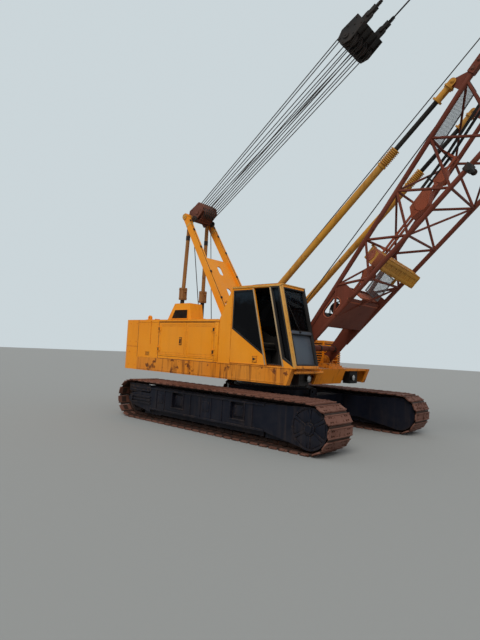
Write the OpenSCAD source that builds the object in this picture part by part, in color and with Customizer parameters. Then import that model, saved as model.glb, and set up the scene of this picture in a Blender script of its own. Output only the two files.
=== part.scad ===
// Crawler crane with a lattice boom, in millimetres.
// X points forward along the boom, Y to the left, Z up; the origin is on the ground under the swing axis.

/* [Tracks] */
// Length of a track over its shoes
track_l = 5800; // [5400:50:6200]
// Width over both tracks
track_over = 4400; // [4200:20:4700]
// Width of a track shoe
shoe_w = 800; // [700:10:900]
// Height of a track over its shoes
track_h = 880; // [860:5:900]
// Number of shoes in a track
shoe_n = 57; // [48:1:64]
// Thickness of a shoe
shoe_t = 34; // [26:1:40]
// Width of the link chain
link_w = 240; // [180:10:300]
// Height of the link chain
link_t = 80; // [70:2:90]

/* [Track frames] */
// Width of a track frame
frame_w = 600; // [500:10:640]
// Height of the frame's lower face above the ground
frame_bottom = 255; // [250:1:262]
// Height of the frame's upper face above the ground
frame_top = 735; // [700:5:745]
// Radius of the round end plates
end_plate_r = 355; // [335:5:370]
// Number of bottom rollers in a track
roller_n = 9; // [7:1:11]

/* [Car body] */
// Distance of the cross beams from the middle
beam_x = 850; // [780:10:900]
// Width of a cross beam
beam_w = 400; // [340:10:440]
// Outer radius of the swing ring
ring_r = 800; // [740:10:840]
// Gap between the swing ring and the deck
ring_gap = 0.3; // [0.2:0.1:1]

/* [Deck] */
// Height of the deck's upper face
deck_z = 1380; // [1370:5:1400]
// Height of the deck's skirt
skirt_h = 320; // [280:10:330]
// Half the width of the upper machine
half_w = 1580; // [1560:5:1620]
// Front of the deck at its upper face
deck_front = 1690; // [1660:5:1740]
// Rear face of the counterweight, behind the swing axis
tail = 3710; // [3600:10:3800]
// Length of the counterweight
weight_l = 620; // [560:10:680]
// Height of the machinery houses' roofs
roof_z = 2310; // [2250:10:2360]
// Distance of the houses' inner walls from the middle
aisle = 790; // [785:1:800]
// Thickness of the houses' walls and doors
wall = 35; // [28:1:45]

/* [Cab] */
// Rear face of the cab
cab_rear = 105; // [95:5:140]
// Upper edge of the cab's front
cab_front_top = 1350; // [1330:5:1400]
// Lower edge of the cab's front
cab_front_low = 1770; // [1740:5:1790]
// Height of the cab's roof
cab_top = 3000; // [2950:10:3060]
// Distance of the cab's inner wall from the middle
cab_side = 775; // [772:1:785]
// Thickness of the cab's walls
cab_wall = 45; // [40:1:55]
// Travel of the sliding door
door_slide = 390; // [360:5:395]

/* [Gantry] */
// Height of the gantry's top shaft
gantry_z = 5200; // [5000:20:5400]
// Distance of the gantry's top shaft behind the swing axis
gantry_x = 2800; // [2700:20:2840]
// Width of a front leg's section
leg_w = 120; // [100:5:130]
// Radius of the gantry's sheaves
gantry_sheave_r = 200; // [170:5:215]

/* [Boom] */
// Height of the boom's foot pin
foot_z = 1550; // [1540:5:1570]
// Distance of the boom's foot pin in front of the swing axis
foot_x = 1070; // [1050:5:1100]
// Angle of the boom above level
boom_angle = 50.3; // [50:0.1:50.6]
// Length of each of the three boom sections
section_l = 6100; // [6080:10:6140]
// Half the width of the boom between its chords' middles
chord_y = 680; // [670:1:682]
// Half the depth of the middle section between its chords' middles
chord_z = 570; // [550:5:580]
// Radius of a chord
chord_r = 45; // [38:1:48]
// Radius of a lacing tube
lace_r = 26; // [20:1:30]
// Radius of the foot pins
foot_pin_r = 45; // [38:1:50]

/* [Boom stops] */
// Distance of the stops' lower pins behind the swing axis
stop_x = 950; // [930:5:970]
// Distance of the stops' lower pins from the middle
stop_y = 690; // [688:1:692]
// Radius of a stop's tube
stop_r = 70; // [60:1:72]
// Radius of a stop's rod
stop_rod_r = 44; // [36:1:48]
// Distance of the upper pins along the boom from its foot
stop_s = 5745; // [5720:5:5770]
// Distance of the upper pins above the boom's middle
stop_h = 790; // [780:5:800]

/* [Hook] */
// Drop of the hook block below the boom's head
hook_drop = 2600; // [2200:50:3200]
// Radius of the boom head's sheaves
head_sheave_r = 300; // [260:5:320]

/* [Hidden] */

// paint colours as the machine wears them
YELLOW = [0.86, 0.55, 0.15];
RUST = [0.36, 0.17, 0.12];
NAVY = [0.09, 0.11, 0.17];
SHOE = [0.42, 0.25, 0.20];
BLACK = [0.07, 0.07, 0.08];
OCHRE = [0.70, 0.47, 0.17];
STEEL = [0.40, 0.40, 0.41];
GLASS = [0.12, 0.15, 0.18];

// gap at a pin or between parts that slide on each other
fit_gap = 0.3;
// gap between a rope and the groove of its sheave
seat_gap = 0.6;
// sunk depth that joins two pieces of one solid
bite = 2;

// shapes that every section uses

// straight bar between two points, round or with n sides
module bar(a, b, r, n = 6) {
    d = b - a;
    len = norm(d);
    translate(a) rotate([0, acos(d[2] / len), atan2(d[1], d[0])]) cylinder(h = len, r = r, $fn = n);
}

// box from its lowest to its highest corner
module block(low, high) {
    translate(low) cube(high - low);
}

// upright plate across Y, drawn as X and Z, centred on y
module side_plate(y, t) {
    translate([0, y + t / 2, 0]) rotate([90, 0, 0]) linear_extrude(t) children();
}

// round bar across Y
module cross_bar(x, y0, y1, z, r, n = 48) {
    translate([x, y0, z]) rotate([-90, 0, 0]) cylinder(h = y1 - y0, r = r, $fn = n);
}

// ring across Y
module cross_ring(x, y, z, r_out, r_in, t) {
    translate([x, y - t / 2, z]) rotate([-90, 0, 0]) difference() {
        cylinder(h = t, r = r_out, $fn = 64);
        translate([0, 0, -1]) cylinder(h = t + 2, r = r_in, $fn = 64);
    }
}

// depth of a sheave's groove as a share of its width
groove_share = 0.3;
// distance from a sheave's middle at which a rope of radius t lies in its groove
function rope_seat(r, w, t) = r - w * groove_share + t / sin(atan2(w / 2, w * groove_share)) + seat_gap;

// grooved rope sheave across Y
module sheave(x, y, z, r, w, bore) {
    groove = w * groove_share;
    translate([x, y, z]) rotate([90, 0, 0]) rotate_extrude($fn = 64)
        polygon([[bore, -w / 2], [bore * 2, -w / 2], [bore * 2, -w / 5], [r * 0.8, -w / 5], [r, -w / 2],
                 [r - groove, 0], [r, w / 2], [r * 0.8, w / 5], [bore * 2, w / 5], [bore * 2, w / 2],
                 [bore, w / 2]]);
}

// tracks

track_y = (track_over - shoe_w) / 2;
track_r = track_h / 2;
axle_x = track_l / 2 - track_r;
shoe_in = track_r - shoe_t;
wheel_r = shoe_in - link_t;
belt_straight = 2 * axle_x;
belt_turn = PI * shoe_in;
shoe_pitch = 2 * (belt_straight + belt_turn) / shoe_n;
// one shoe's outline: share of the pitch, share of the shoe's thickness
shoe_profile = [[0.02, 0.35], [0.04, 0.8], [0.15, 1], [0.94, 1], [0.97, 0.7], [0.98, 0.35]];

// point at distance u along the belt and height h outside it
function belt_point(u, h) =
    let (r = shoe_in + h, front = belt_straight + belt_turn, top = front + belt_straight)
    u < belt_straight ? [-axle_x + u, track_r - r] :
    u < front ? let (a = (u - belt_straight) / shoe_in * 180 / PI - 90)
        [axle_x + r * cos(a), track_r + r * sin(a)] :
    u < top ? [axle_x - (u - front), track_r + r] :
    let (a = (u - top) / shoe_in * 180 / PI + 90) [-axle_x + r * cos(a), track_r + r * sin(a)];

module belt_outline(r) {
    translate([0, track_r]) {
        square([2 * axle_x, 2 * r], center = true);
        for (s = [-1, 1]) translate([s * axle_x, 0]) circle(r = r, $fn = 96);
    }
}

module track(side) {
    color(SHOE) {
        side_plate(side * track_y, shoe_w) difference() {
            polygon([for (i = [0:shoe_n - 1], p = shoe_profile)
                belt_point((i + p[0]) * shoe_pitch, p[1] * shoe_t)]);
            belt_outline(shoe_in);
        }
        side_plate(side * track_y, link_w) difference() {
            belt_outline(shoe_in + bite);
            belt_outline(wheel_r);
        }
    }
}

roller_r = (frame_bottom - (track_r - wheel_r)) / 2 - fit_gap;
roller_z = track_r - wheel_r + roller_r + fit_gap;
frame_back = 1760;
frame_front = 1500;

module track_wheels(side) {
    y = side * track_y;
    hub = link_w + 60;
    color(NAVY) {
        // sprocket in front and idler behind, on axles held by the frame's plates
        for (s = [-1, 1]) {
            cross_bar(s * axle_x, y - link_w * 0.4, y + link_w * 0.4, track_r, wheel_r - fit_gap, 96);
            cross_bar(s * axle_x, y - frame_w / 2 + plate_t, y + frame_w / 2 - plate_t, track_r, 90);
        }
        for (i = [0:roller_n - 1]) {
            x = -frame_back + 160 + i * (frame_back + frame_front - 320) / (roller_n - 1);
            cross_bar(x, y - hub / 2, y + hub / 2, roller_z, roller_r, 32);
        }
        // slide pads under the upper run
        for (x = [-900, 600])
            block([x - 200, y - link_w / 2, frame_top],
                  [x + 200, y + link_w / 2, track_r + wheel_r - fit_gap]);
    }
}

plate_t = 40;
window_w = 340;
window_h = 320;
window_depth = 70;
yoke_h = 250;

module track_frame(side) {
    y = side * track_y;
    outer = y + side * frame_w / 2;
    color(NAVY) {
        difference() {
            block([-frame_back, y - frame_w / 2, frame_bottom], [frame_front, y + frame_w / 2, frame_top]);
            // pockets that show the cross beams' ends
            for (x = [-beam_x, beam_x])
                translate([x, outer, (frame_bottom + frame_top) / 2 + 40])
                    cube([window_w, 2 * window_depth, window_h], center = true);
        }
        // flanges along the outer face
        for (z = [frame_bottom + 15, frame_top - 15])
            block([-frame_back, min(outer, outer + side * 20), z - 15],
                  [frame_front, max(outer, outer + side * 20), z + 15]);
        // plates that hold the sprocket in front
        for (e = [-1, 1]) side_plate(y + e * (frame_w - plate_t) / 2, plate_t) union() {
            translate([axle_x, track_r]) circle(r = end_plate_r, $fn = 96);
            polygon([[frame_front - 200, frame_bottom], [frame_front - 200, frame_top],
                     [frame_front, frame_top], [axle_x, track_r + end_plate_r],
                     [axle_x, track_r - end_plate_r], [frame_front, frame_bottom]]);
        }
        // hub and rim on the outer plate
        cross_ring(axle_x, outer + side * 8, track_r, end_plate_r, end_plate_r - 30, 16 + bite);
        cross_bar(axle_x, min(outer, outer + side * 30) - bite, max(outer, outer + side * 30), track_r, 105);
        // yoke arms that hold the idler behind
        for (e = [-1, 1]) side_plate(y + e * (frame_w - plate_t) / 2, plate_t)
            polygon([[-frame_back + bite, track_r - yoke_h], [-frame_back + bite, track_r + yoke_h * 0.9],
                     [-axle_x, track_r + yoke_h / 2], [-axle_x - 120, track_r],
                     [-axle_x, track_r - yoke_h / 2]]);
        for (dz = [-70, 0, 70])
            block([-axle_x - 40, min(outer, outer + side * 25) - bite, track_r + dz - 15],
                  [-frame_back, max(outer, outer + side * 25), track_r + dz + 15]);
    }
}

// car body between the tracks

body_top = 930;
body_bottom = 470;
beam_h = 440;
beam_z = (frame_bottom + frame_top) / 2 + 40;
tow_x = 1125;
tow_z = 850;
tow_t = 50;
tow_r = 30;
tow_half = 75;

// bar along X, from x0 to x1
module ahead_bar(x0, x1, y, z, r) {
    translate([x0, y, z]) rotate([0, 90, 0]) cylinder(h = x1 - x0, r = r, $fn = 48);
}

module car_body() {
    inner_face = track_y - frame_w / 2;
    color(NAVY) difference() {
        union() {
            rotate([0, 0, 22.5]) translate([0, 0, body_bottom])
                cylinder(h = body_top - body_bottom - 40, r = 1080, $fn = 8);
            translate([0, 0, body_top - 60]) cylinder(h = 60, r = ring_r + 60, $fn = 96);
            for (s = [-1, 1]) {
                translate([s * beam_x, 0, beam_z]) cube([beam_w, 2 * inner_face, beam_h], center = true);
                // tow lug on a shelf that reaches out over the cross beam's edge
                translate([s * (tow_x - 50), 0, beam_z + beam_h / 2 + 14])
                    cube([2 * 50 + tow_t, 2 * tow_half + 20, 30], center = true);
                translate([s * tow_x, 0, (tow_z + beam_z + beam_h / 2) / 2])
                    cube([tow_t, 2 * tow_half, tow_z - beam_z - beam_h / 2], center = true);
                ahead_bar(s * tow_x - tow_t / 2, s * tow_x + tow_t / 2, 0, tow_z, tow_half);
            }
        }
        for (s = [-1, 1]) ahead_bar(s * tow_x - tow_t, s * tow_x + tow_t, 0, tow_z, tow_r);
    }
}

ring_z = 1040;

module swing_ring() {
    color(STEEL) translate([0, 0, body_top]) difference() {
        cylinder(h = ring_z - body_top - ring_gap, r = ring_r, $fn = 96);
        translate([0, 0, -1]) cylinder(h = ring_z - body_top + 2, r = ring_r - 180, $fn = 96);
    }
}

// deck of the upper machine

deck_t = 45;
skirt_t = 25;
skirt_z = deck_z - skirt_h;
weight_front = tail - weight_l;
lug_t = 90;
lug_y = chord_y - 20;
ear_t = 28;
nose_w = 550;
skirt_lean = 120;

// outline of a bracket plate that stands at height base and carries a pin
module ear_outline(x, z, r, foot, base) {
    translate([x, z]) circle(r = r, $fn = 64);
    polygon([[x - foot, base], [x - r, z], [x + r, z], [x + foot, base]]);
}

module deck() {
    color(YELLOW) {
        block([-weight_front, -half_w, deck_z - deck_t], [deck_front - 30, half_w, deck_z]);
        // skirts along both sides, slanted back at the front
        for (s = [-1, 1]) side_plate(s * (half_w - skirt_t / 2), skirt_t)
            polygon([[-weight_front, skirt_z], [deck_front - skirt_lean, skirt_z], [deck_front, deck_z],
                     [-weight_front, deck_z]]);
        for (s = [-1, 1]) side_plate(s * (half_w - 60), 120)
            polygon([[deck_front - skirt_lean - 30, skirt_z], [deck_front - skirt_lean, skirt_z],
                     [deck_front, deck_z], [deck_front - 30, deck_z]]);
        // slanted face of the nose, with its steps
        side_plate(-100, 2 * nose_w)
            polygon([[deck_front - skirt_lean - 50, skirt_z], [deck_front - skirt_lean, skirt_z],
                     [deck_front, deck_z], [deck_front - 50, deck_z]]);
        for (i = [0:2])
            block([deck_front - 260 - 50 * i, -50, deck_z - bite + 34 * i],
                  [deck_front - 40 - 50 * i, nose_w - 120, deck_z + 34 * (i + 1)]);
        // main beams and bulkheads under the deck
        for (s = [-1, 1]) block([-weight_front, s * 480 - 30, skirt_z + 10],
                                [deck_front - skirt_lean - 60, s * 480 + 30, deck_z - bite]);
        for (x = [-weight_front + 25, -1900, 1100])
            block([x - 20, -half_w + 1, skirt_z + 30], [x + 20, half_w - 1, deck_z - bite]);
        translate([0, 0, ring_z]) cylinder(h = deck_z - ring_z - bite, r = ring_r - 20, $fn = 96);
        // step beam in front of the cab
        cross_bar(deck_front + 26, -half_w + 70, -nose_w, deck_z - 70, 28, 24);
        for (y = [-half_w + 160, -nose_w - 60])
            block([deck_front - 90, y - 12, deck_z - 95], [deck_front + 26, y + 12, deck_z - bite]);
    }
    color(RUST) {
        // ears and pins that carry the boom's feet
        for (s = [-1, 1], e = [-1, 1])
            side_plate(s * lug_y + e * (lug_t / 2 + fit_gap + ear_t / 2), ear_t)
                ear_outline(foot_x, foot_z, foot_pin_r + 60, 190, deck_z - bite);
        for (s = [-1, 1])
            cross_bar(foot_x, s * lug_y - lug_t / 2 - ear_t - 12, s * lug_y + lug_t / 2 + ear_t + 12,
                      foot_z, foot_pin_r - fit_gap);
        // ears and pins that carry the boom stops
        for (s = [-1, 1], e = [-1, 1])
            side_plate(s * stop_y + e * (stop_eye_t / 2 + stop_side_gap + 8), 16)
                ear_outline(-stop_x, stop_z, 62, 110, deck_z - bite);
        for (s = [-1, 1])
            cross_bar(-stop_x, s * stop_y - stop_eye_t / 2 - 20, s * stop_y + stop_eye_t / 2 + 20,
                      stop_z, stop_pin_r - fit_gap, 32);
    }
}

weight_corner = 200;
weight_lug_y = 1000;
weight_lug_z = 95;
weight_lug_r = 25;
weight_lug_t = 40;

module counterweight() {
    color(YELLOW) difference() {
        union() {
            translate([0, 0, skirt_z]) linear_extrude(roof_z - skirt_z) {
                translate([-tail + weight_corner, -half_w]) square([weight_l - weight_corner, 2 * half_w]);
                translate([-tail, -half_w + weight_corner])
                    square([weight_corner + 1, 2 * (half_w - weight_corner)]);
                for (s = [-1, 1]) translate([-tail + weight_corner, s * (half_w - weight_corner)])
                    circle(r = weight_corner, $fn = 64);
            }
            // lifting lugs
            for (s = [-1, 1]) side_plate(s * weight_lug_y, weight_lug_t) {
                translate([-tail + weight_l / 2, roof_z + weight_lug_z]) circle(r = 70, $fn = 48);
                translate([-tail + weight_l / 2 - 70, roof_z - bite]) square([140, weight_lug_z]);
            }
        }
        for (s = [-1, 1]) cross_bar(-tail + weight_l / 2, s * weight_lug_y - weight_lug_t,
                                    s * weight_lug_y + weight_lug_t, roof_z + weight_lug_z, weight_lug_r);
        // seam between the two cast slabs
        for (s = [-1, 1]) translate([-tail - 1, s * half_w - 8, deck_z + 250]) cube([weight_l + 2, 16, 14]);
        translate([-tail - 1, -half_w, deck_z + 250]) cube([9, 2 * half_w, 14]);
    }
}

// machinery houses on both sides of the aisle

house_rear = -weight_front;
house_front = -250;
door_gap = 6;
door_z0 = deck_z + 60;
door_z1 = roof_z - 65;
door_rear_x = -2245;
door_seam_x = -1285;
door_front_x = -400;
barrel_r = 13;
hinge_pin_r = 7;
// a door hangs on barrels that lie just outside the house's side
hinge_out = barrel_r + 1;
barrel_h = 80;
barrel_zs = [door_z0 + 120, door_z1 - 120 - barrel_h];

slot_x = -2580;
vent_x = [-2760, -2600];
vent_z = [deck_z + 40, deck_z + 140];

module house(side) {
    y0 = min(side * aisle, side * half_w);
    y1 = max(side * aisle, side * half_w);
    out = side * half_w;
    color(YELLOW) {
        difference() {
            block([house_rear, y0, deck_z], [house_front, y1, roof_z]);
            block([house_rear + wall, y0 + wall, deck_z - 1],
                  [house_front - wall, y1 - wall, roof_z - wall]);
            // doorway in the outer side
            block([door_rear_x, out - wall * 1.5, door_z0], [door_front_x, out + wall * 1.5, door_z1]);
            // upright slot in the side, behind the doors
            block([slot_x - 10, out - 12, deck_z + 330], [slot_x + 10, out + 12, roof_z - 40]);
            // vent at the foot of the side
            block([vent_x[0], out - wall * 1.5, vent_z[0]], [vent_x[1], out + wall * 1.5, vent_z[1]]);
        }
        // roof lip over the doors
        block([door_rear_x - 25, min(out, out + side * 18), roof_z - 45],
              [house_front + 20, max(out, out + side * 18), roof_z]);
        // pins of the door hinges, on leaves beside the barrels
        for (x = [door_rear_x, door_front_x], z = barrel_zs) {
            lead = x == door_rear_x ? -1 : 1;
            translate([x, out + side * hinge_out, z - 22])
                cylinder(h = barrel_h + 44, r = hinge_pin_r - fit_gap, $fn = 24);
            for (dz = [-22, barrel_h + fit_gap])
                translate([x, out + side * hinge_out, z + dz]) {
                    cylinder(h = 22 - fit_gap, r = barrel_r, $fn = 24);
                    translate([min(0, lead * 60), -(side > 0 ? hinge_out + bite : 0), 0])
                        cube([60, hinge_out + bite, 22 - fit_gap]);
                }
        }
    }
    // louvre plate set back in the vent
    color(BLACK) block([vent_x[0] - bite, min(out - side * 8, out - side * (wall - 8)), vent_z[0] - bite],
                       [vent_x[1] + bite, max(out - side * 8, out - side * (wall - 8)), vent_z[1] + bite]);
}

// house door: hung at its rear edge (lead -1) or at its front edge (lead 1)
module house_door(side, lead) {
    hung = lead < 0 ? door_rear_x : door_front_x;
    x0 = (lead < 0 ? door_rear_x : door_seam_x) + door_gap / 2;
    x1 = (lead < 0 ? door_seam_x : door_front_x) - door_gap / 2;
    out = side * half_w;
    color(YELLOW) {
        difference() {
            block([x0, min(out, out - side * wall), door_z0 + door_gap],
                  [x1, max(out, out - side * wall), door_z1 - door_gap]);
            // pressed frame line
            for (z = [door_z0 + 90, door_z1 - 90])
                block([x0 + 60, out - 4, z - 4], [x1 - 60, out + 4, z + 4]);
        }
        for (z = barrel_zs) difference() {
            union() {
                translate([hung, out + side * hinge_out, z]) cylinder(h = barrel_h, r = barrel_r, $fn = 24);
                block([min(hung - lead * 60, hung), min(out - side * bite, out + side * hinge_out), z],
                      [max(hung - lead * 60, hung), max(out - side * bite, out + side * hinge_out),
                       z + barrel_h]);
            }
            translate([hung, out + side * hinge_out, z - 1])
                cylinder(h = barrel_h + 2, r = hinge_pin_r, $fn = 24);
        }
        if (lead < 0) block([x1 - 200, min(out - side * bite, out + side * 14), deck_z + 360],
                            [x1 - 150, max(out - side * bite, out + side * 14), deck_z + 500]);
    }
}

module engine() {
    color(STEEL) block([-2350, -half_w + wall + 60, deck_z], [-950, -aisle - wall - 40, deck_z + 760]);
}

hood_rear = -2450;
hood_front = -1550;
hood_h = 430;
hood_y = -1200;
grille_pitch = 55;
grille_depth = 30;

module exhaust_hood() {
    color(YELLOW) difference() {
        side_plate((hood_y - aisle - 5) / 2, -hood_y - aisle - 5)
            polygon([[hood_rear, roof_z], [hood_rear + 270, roof_z + hood_h],
                     [hood_front - 90, roof_z + hood_h], [hood_front, roof_z]]);
        // grille openings, with slats left between them
        for (i = [0:3])
            translate([hood_rear + 200 + i * 30, hood_y - grille_depth, roof_z + 70 + i * grille_pitch])
            cube([hood_front - hood_rear - 360 - i * 30, 2 * grille_depth, grille_pitch - 19]);
    }
}

// winches in the aisle

// one drum on two side plates: place, radius of the rope layer
module winch(x, z, r, half) {
    color(STEEL) {
        cross_bar(x, -half, half, z, r * 0.8);
        for (s = [-1, 1]) cross_bar(x, s * half - 12, s * half + 12, z, r * 1.15);
        cross_bar(x, -half - 40, half + 40, z, 40);
    }
    color(YELLOW) for (s = [-1, 1])
        side_plate(s * (half + 35), 30) ear_outline(x, z, r * 0.7, r * 1.1, deck_z);
}

hoist_x = [220, -1350];
hoist_r = 240;
hoist_z = deck_z + 330;
hoist_half = 320;
boom_winch_x = -2150;
boom_winch_r = 210;
boom_winch_z = deck_z + 300;
boom_winch_half = 260;

module winches() {
    // two hoist winches, and the smaller one that raises the boom
    for (x = hoist_x) winch(x, hoist_z, hoist_r, hoist_half);
    winch(boom_winch_x, boom_winch_z, boom_winch_r, boom_winch_half);
}

// gantry behind the boom

leg_foot_x = -500;
leg_foot_z = deck_z + 220;
leg_foot_y = 545;
leg_top_y = 450;
rear_leg_x = -2900;
rear_leg_y = 405;
head_lean = 34;
panel_z0 = 2850;
panel_z1 = 4030;
panel_t = 24;

// place on a front leg at height z
function leg_x(z) = leg_foot_x + (z - leg_foot_z) / (gantry_z - leg_foot_z) * (-gantry_x - leg_foot_x);
function leg_y(z) = leg_foot_y + (z - leg_foot_z) / (gantry_z - leg_foot_z) * (leg_top_y - leg_foot_y);
leg_slope = atan2(gantry_z - leg_foot_z, gantry_x + leg_foot_x);

module gantry_front() {
    color(YELLOW) difference() {
        front_legs();
        cross_bar(-gantry_x, -half_w, half_w, gantry_z, head_shaft_r + fit_gap);
    }
    color(YELLOW) leg_panel();
}

module front_legs() {
    for (s = [-1, 1]) {
        // leg, its foot plate and its top eye
        square_leg([leg_foot_x, s * leg_foot_y, leg_foot_z], [-gantry_x, s * leg_top_y, gantry_z], leg_w);
        side_plate(s * leg_foot_y, 80)
            polygon([[leg_foot_x - 180, deck_z], [leg_foot_x - 120, leg_foot_z + 130],
                     [leg_foot_x + 60, leg_foot_z + 60], [leg_foot_x + 160, deck_z]]);
        cross_bar(-gantry_x, s * leg_top_y - 60, s * leg_top_y + 60, gantry_z, 95);
    }
}

// stiffening panel between the legs, with two oval holes, and the bar under it
module leg_panel() {
    mid_z = (panel_z0 + panel_z1) / 2;
    translate([leg_x(mid_z), 0, mid_z]) rotate([0, leg_slope - 90, 0]) difference() {
        cube([panel_t, 2 * leg_y(panel_z1) - leg_w + 2 * bite + 20, (panel_z1 - panel_z0) / sin(leg_slope)],
             center = true);
        for (dz = [-380, 330]) translate([0, 0, dz]) rotate([0, 90, 0]) {
            for (e = [-70, 70])
                translate([e, 0, -panel_t]) cylinder(h = 2 * panel_t, r = 75, $fn = 48);
            translate([-70, -75, -panel_t]) cube([140, 150, 2 * panel_t]);
        }
    }
    cross_bar(leg_x(panel_z0) - 10, -leg_y(panel_z0), leg_y(panel_z0), panel_z0, 35, 24);
}

// box-section leg whose section stays square to it in the side view
module square_leg(a, b, w) {
    d = b - a;
    len = norm(d);
    translate(a) rotate([0, 0, atan2(d[1], d[0])]) rotate([0, acos(d[2] / len), 0])
        translate([-w * 0.65, -w / 2, 0]) cube([w * 1.3, w, len]);
}

module gantry_rear() {
    color(OCHRE) for (s = [-1, 1]) difference() {
        rear_leg(s);
        cross_bar(-gantry_x, -half_w, half_w, gantry_z, head_shaft_r + fit_gap);
    }
}

module rear_leg(s) {
    foot = [rear_leg_x, s * rear_leg_y, deck_z + 20];
    top = [-gantry_x, s * (leg_top_y - 120), gantry_z];
    bar(foot, top, 52, 12);
    // telescoping sleeve with its pin
    mid = foot + (top - foot) * 0.45;
    translate(mid) cube([150, 150, 330], center = true);
    translate(mid + [0, 0, 60]) rotate([0, 90, 0]) cylinder(h = 230, r = 25, center = true, $fn = 24);
    cross_bar(-gantry_x, top[1] - 40, top[1] + 40, gantry_z, 85);
    block([rear_leg_x - 110, s * rear_leg_y - 80, deck_z],
          [rear_leg_x + 110, s * rear_leg_y + 80, deck_z + 110]);
}

sheave_w = 62;
head_shaft_r = 60;
head_half = 330;

module gantry_head() {
    color(RUST) {
        cross_bar(-gantry_x, -leg_top_y - 75, leg_top_y + 75, gantry_z, head_shaft_r);
        translate([-gantry_x, 0, gantry_z]) rotate([0, -head_lean, 0]) {
            // cheeks, cross plate and rope guard
            for (s = [-1, 1]) side_plate(s * (head_half - 70), 30)
                polygon([[-110, -70], [-110, 70], [60, 240], [460, 200], [520, 60], [460, -110],
                         [100, -150]]);
            block([150, -head_half + 60, 190], [420, head_half - 60, 220]);
            cross_bar(430, -head_half + 60, head_half - 60, -70, 22, 12);
            cross_bar(sheave_s, -head_half + 40, head_half - 40, 0, 45);
            for (i = [-2.5:1:2.5]) sheave(sheave_s, i * (sheave_w + 8), 0, gantry_sheave_r, sheave_w, 44);
        }
    }
}
sheave_s = 270;

// cab on the right, beside the boom

cab_floor = deck_z;
post_lean = (cab_front_low - cab_front_top) / (cab_top - cab_floor);
// X of a line that leans like the front post and passes x at the roof
function lean_x(x, z) = x + (cab_top - z) * post_lean;
// thickness of the leaning front along X, for a wall of 1
front_skew = sqrt(1 + post_lean * post_lean);
post_rear = 1050;
post_w = 42;
door_t = 34;
door_front_top = post_rear - door_slide - 8;
quarter_top = 520;
sill_z = cab_floor + 22;
rail_z = cab_top - 60;
cab_right = -half_w;

module cab_profile(w) {
    polygon([[cab_rear + w, cab_floor + w], [cab_rear + w, cab_top - w],
             [lean_x(cab_front_top, cab_top - w) - w * front_skew, cab_top - w],
             [lean_x(cab_front_top, cab_floor + w) - w * front_skew, cab_floor + w]]);
}

// pane outlines in the cab's side, drawn as X and Z
module front_quarter() {
    x = post_rear + post_w;
    polygon([[lean_x(x, cab_top - 70), cab_top - 70], [cab_front_top - 75 + 70 * post_lean, cab_top - 70],
             [lean_x(cab_front_top - 75, cab_floor + 80), cab_floor + 80],
             [lean_x(x, cab_floor + 190) + 12, cab_floor + 190]]);
}
module rear_quarter() {
    polygon([[cab_rear + 70, cab_floor + 700], [cab_rear + 70, pane_top],
             [lean_x(quarter_top - 60, pane_top), pane_top],
             [lean_x(quarter_top - 60, cab_floor + 460), cab_floor + 460]]);
}
module inner_window() {
    z1 = cab_floor + 420;
    polygon([[cab_rear + 120, z1 + 400], [cab_rear + 120, pane_top],
             [lean_x(cab_front_top - 110, pane_top), pane_top], [lean_x(cab_front_top - 110, z1), z1],
             [lean_x(700, z1), z1]]);
}
module doorway() {
    polygon([[lean_x(quarter_top, sill_z), sill_z], [lean_x(quarter_top, rail_z), rail_z],
             [lean_x(post_rear, rail_z), rail_z], [lean_x(post_rear, sill_z), sill_z]]);
}
// lowest and highest points of the windshield's two panes and of the rear window
windshield = [[cab_floor + 70, cab_floor + 660], [cab_floor + 715, cab_top - 75]];
rear_window = [cab_top - 650, cab_top - 150];
// upper edge of the side panes
pane_top = cab_top - 110;
pane_t = 8;

module cab() {
    mid_y = -(half_w + cab_side) / 2;
    out_w = half_w - cab_side;
    color(YELLOW) difference() {
        side_plate(mid_y, out_w) cab_profile(0);
        side_plate(mid_y, out_w - 2 * cab_wall) cab_profile(cab_wall);
        // channel for the sliding door and the doorway
        side_plate(cab_right, 2 * (door_t + 3)) polygon([[cab_rear - 1, sill_z], [cab_rear - 1, rail_z],
            [lean_x(post_rear, rail_z), rail_z], [lean_x(post_rear, sill_z), sill_z]]);
        side_plate(cab_right, 4 * cab_wall) doorway();
        side_plate(cab_right, 4 * cab_wall) rear_quarter();
        side_plate(cab_right, 4 * cab_wall) front_quarter();
        side_plate(-cab_side, 4 * cab_wall) inner_window();
        for (w = windshield)
            block([cab_front_top - 120, cab_right + 60, w[0]], [cab_front_low + 50, -cab_side - 50, w[1]]);
        // rear window
        block([cab_rear - 50, cab_right + 120, rear_window[0]],
              [cab_rear + cab_wall + 50, -cab_side - 110, rear_window[1]]);
    }
    // fairing between the cab and the house
    color(YELLOW) side_plate(cab_right + 20, 40)
        polygon([[house_front + 12, deck_z], [house_front + 12, roof_z + 20], [cab_rear - 6, cab_top - 30],
                 [cab_rear - 6, deck_z]]);
    color(YELLOW)
        block([cab_rear - 12, cab_right, deck_z + 100], [cab_rear + bite, cab_right + 40, deck_z + 300]);
}

// slab that follows the front's slope, between two heights
module front_pane(w) {
    inset = cab_wall * front_skew + 0.2;
    side_plate(-(half_w + cab_side) / 2, half_w - cab_side - 2 * cab_wall - 30)
        polygon([for (p = [[0, w[0] - 15], [0, w[1] + 15], [pane_t, w[1] + 15], [pane_t, w[0] - 15]])
            [lean_x(cab_front_top, p[1]) - inset - p[0], p[1]]]);
}

module cab_glass() {
    inner = cab_right + cab_wall + pane_t / 2 + 0.1;
    color(GLASS) {
        for (w = windshield) front_pane(w);
        side_plate(inner, pane_t) offset(delta = 10) front_quarter();
        side_plate(inner, pane_t) offset(delta = 10) rear_quarter();
        side_plate(-cab_side - cab_wall - pane_t / 2 - 0.1, pane_t) offset(delta = 10) inner_window();
        block([cab_rear + cab_wall + 0.1, cab_right + 100, rear_window[0] - 20],
              [cab_rear + cab_wall + pane_t, -cab_side - 90, rear_window[1] + 20]);
    }
}

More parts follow.
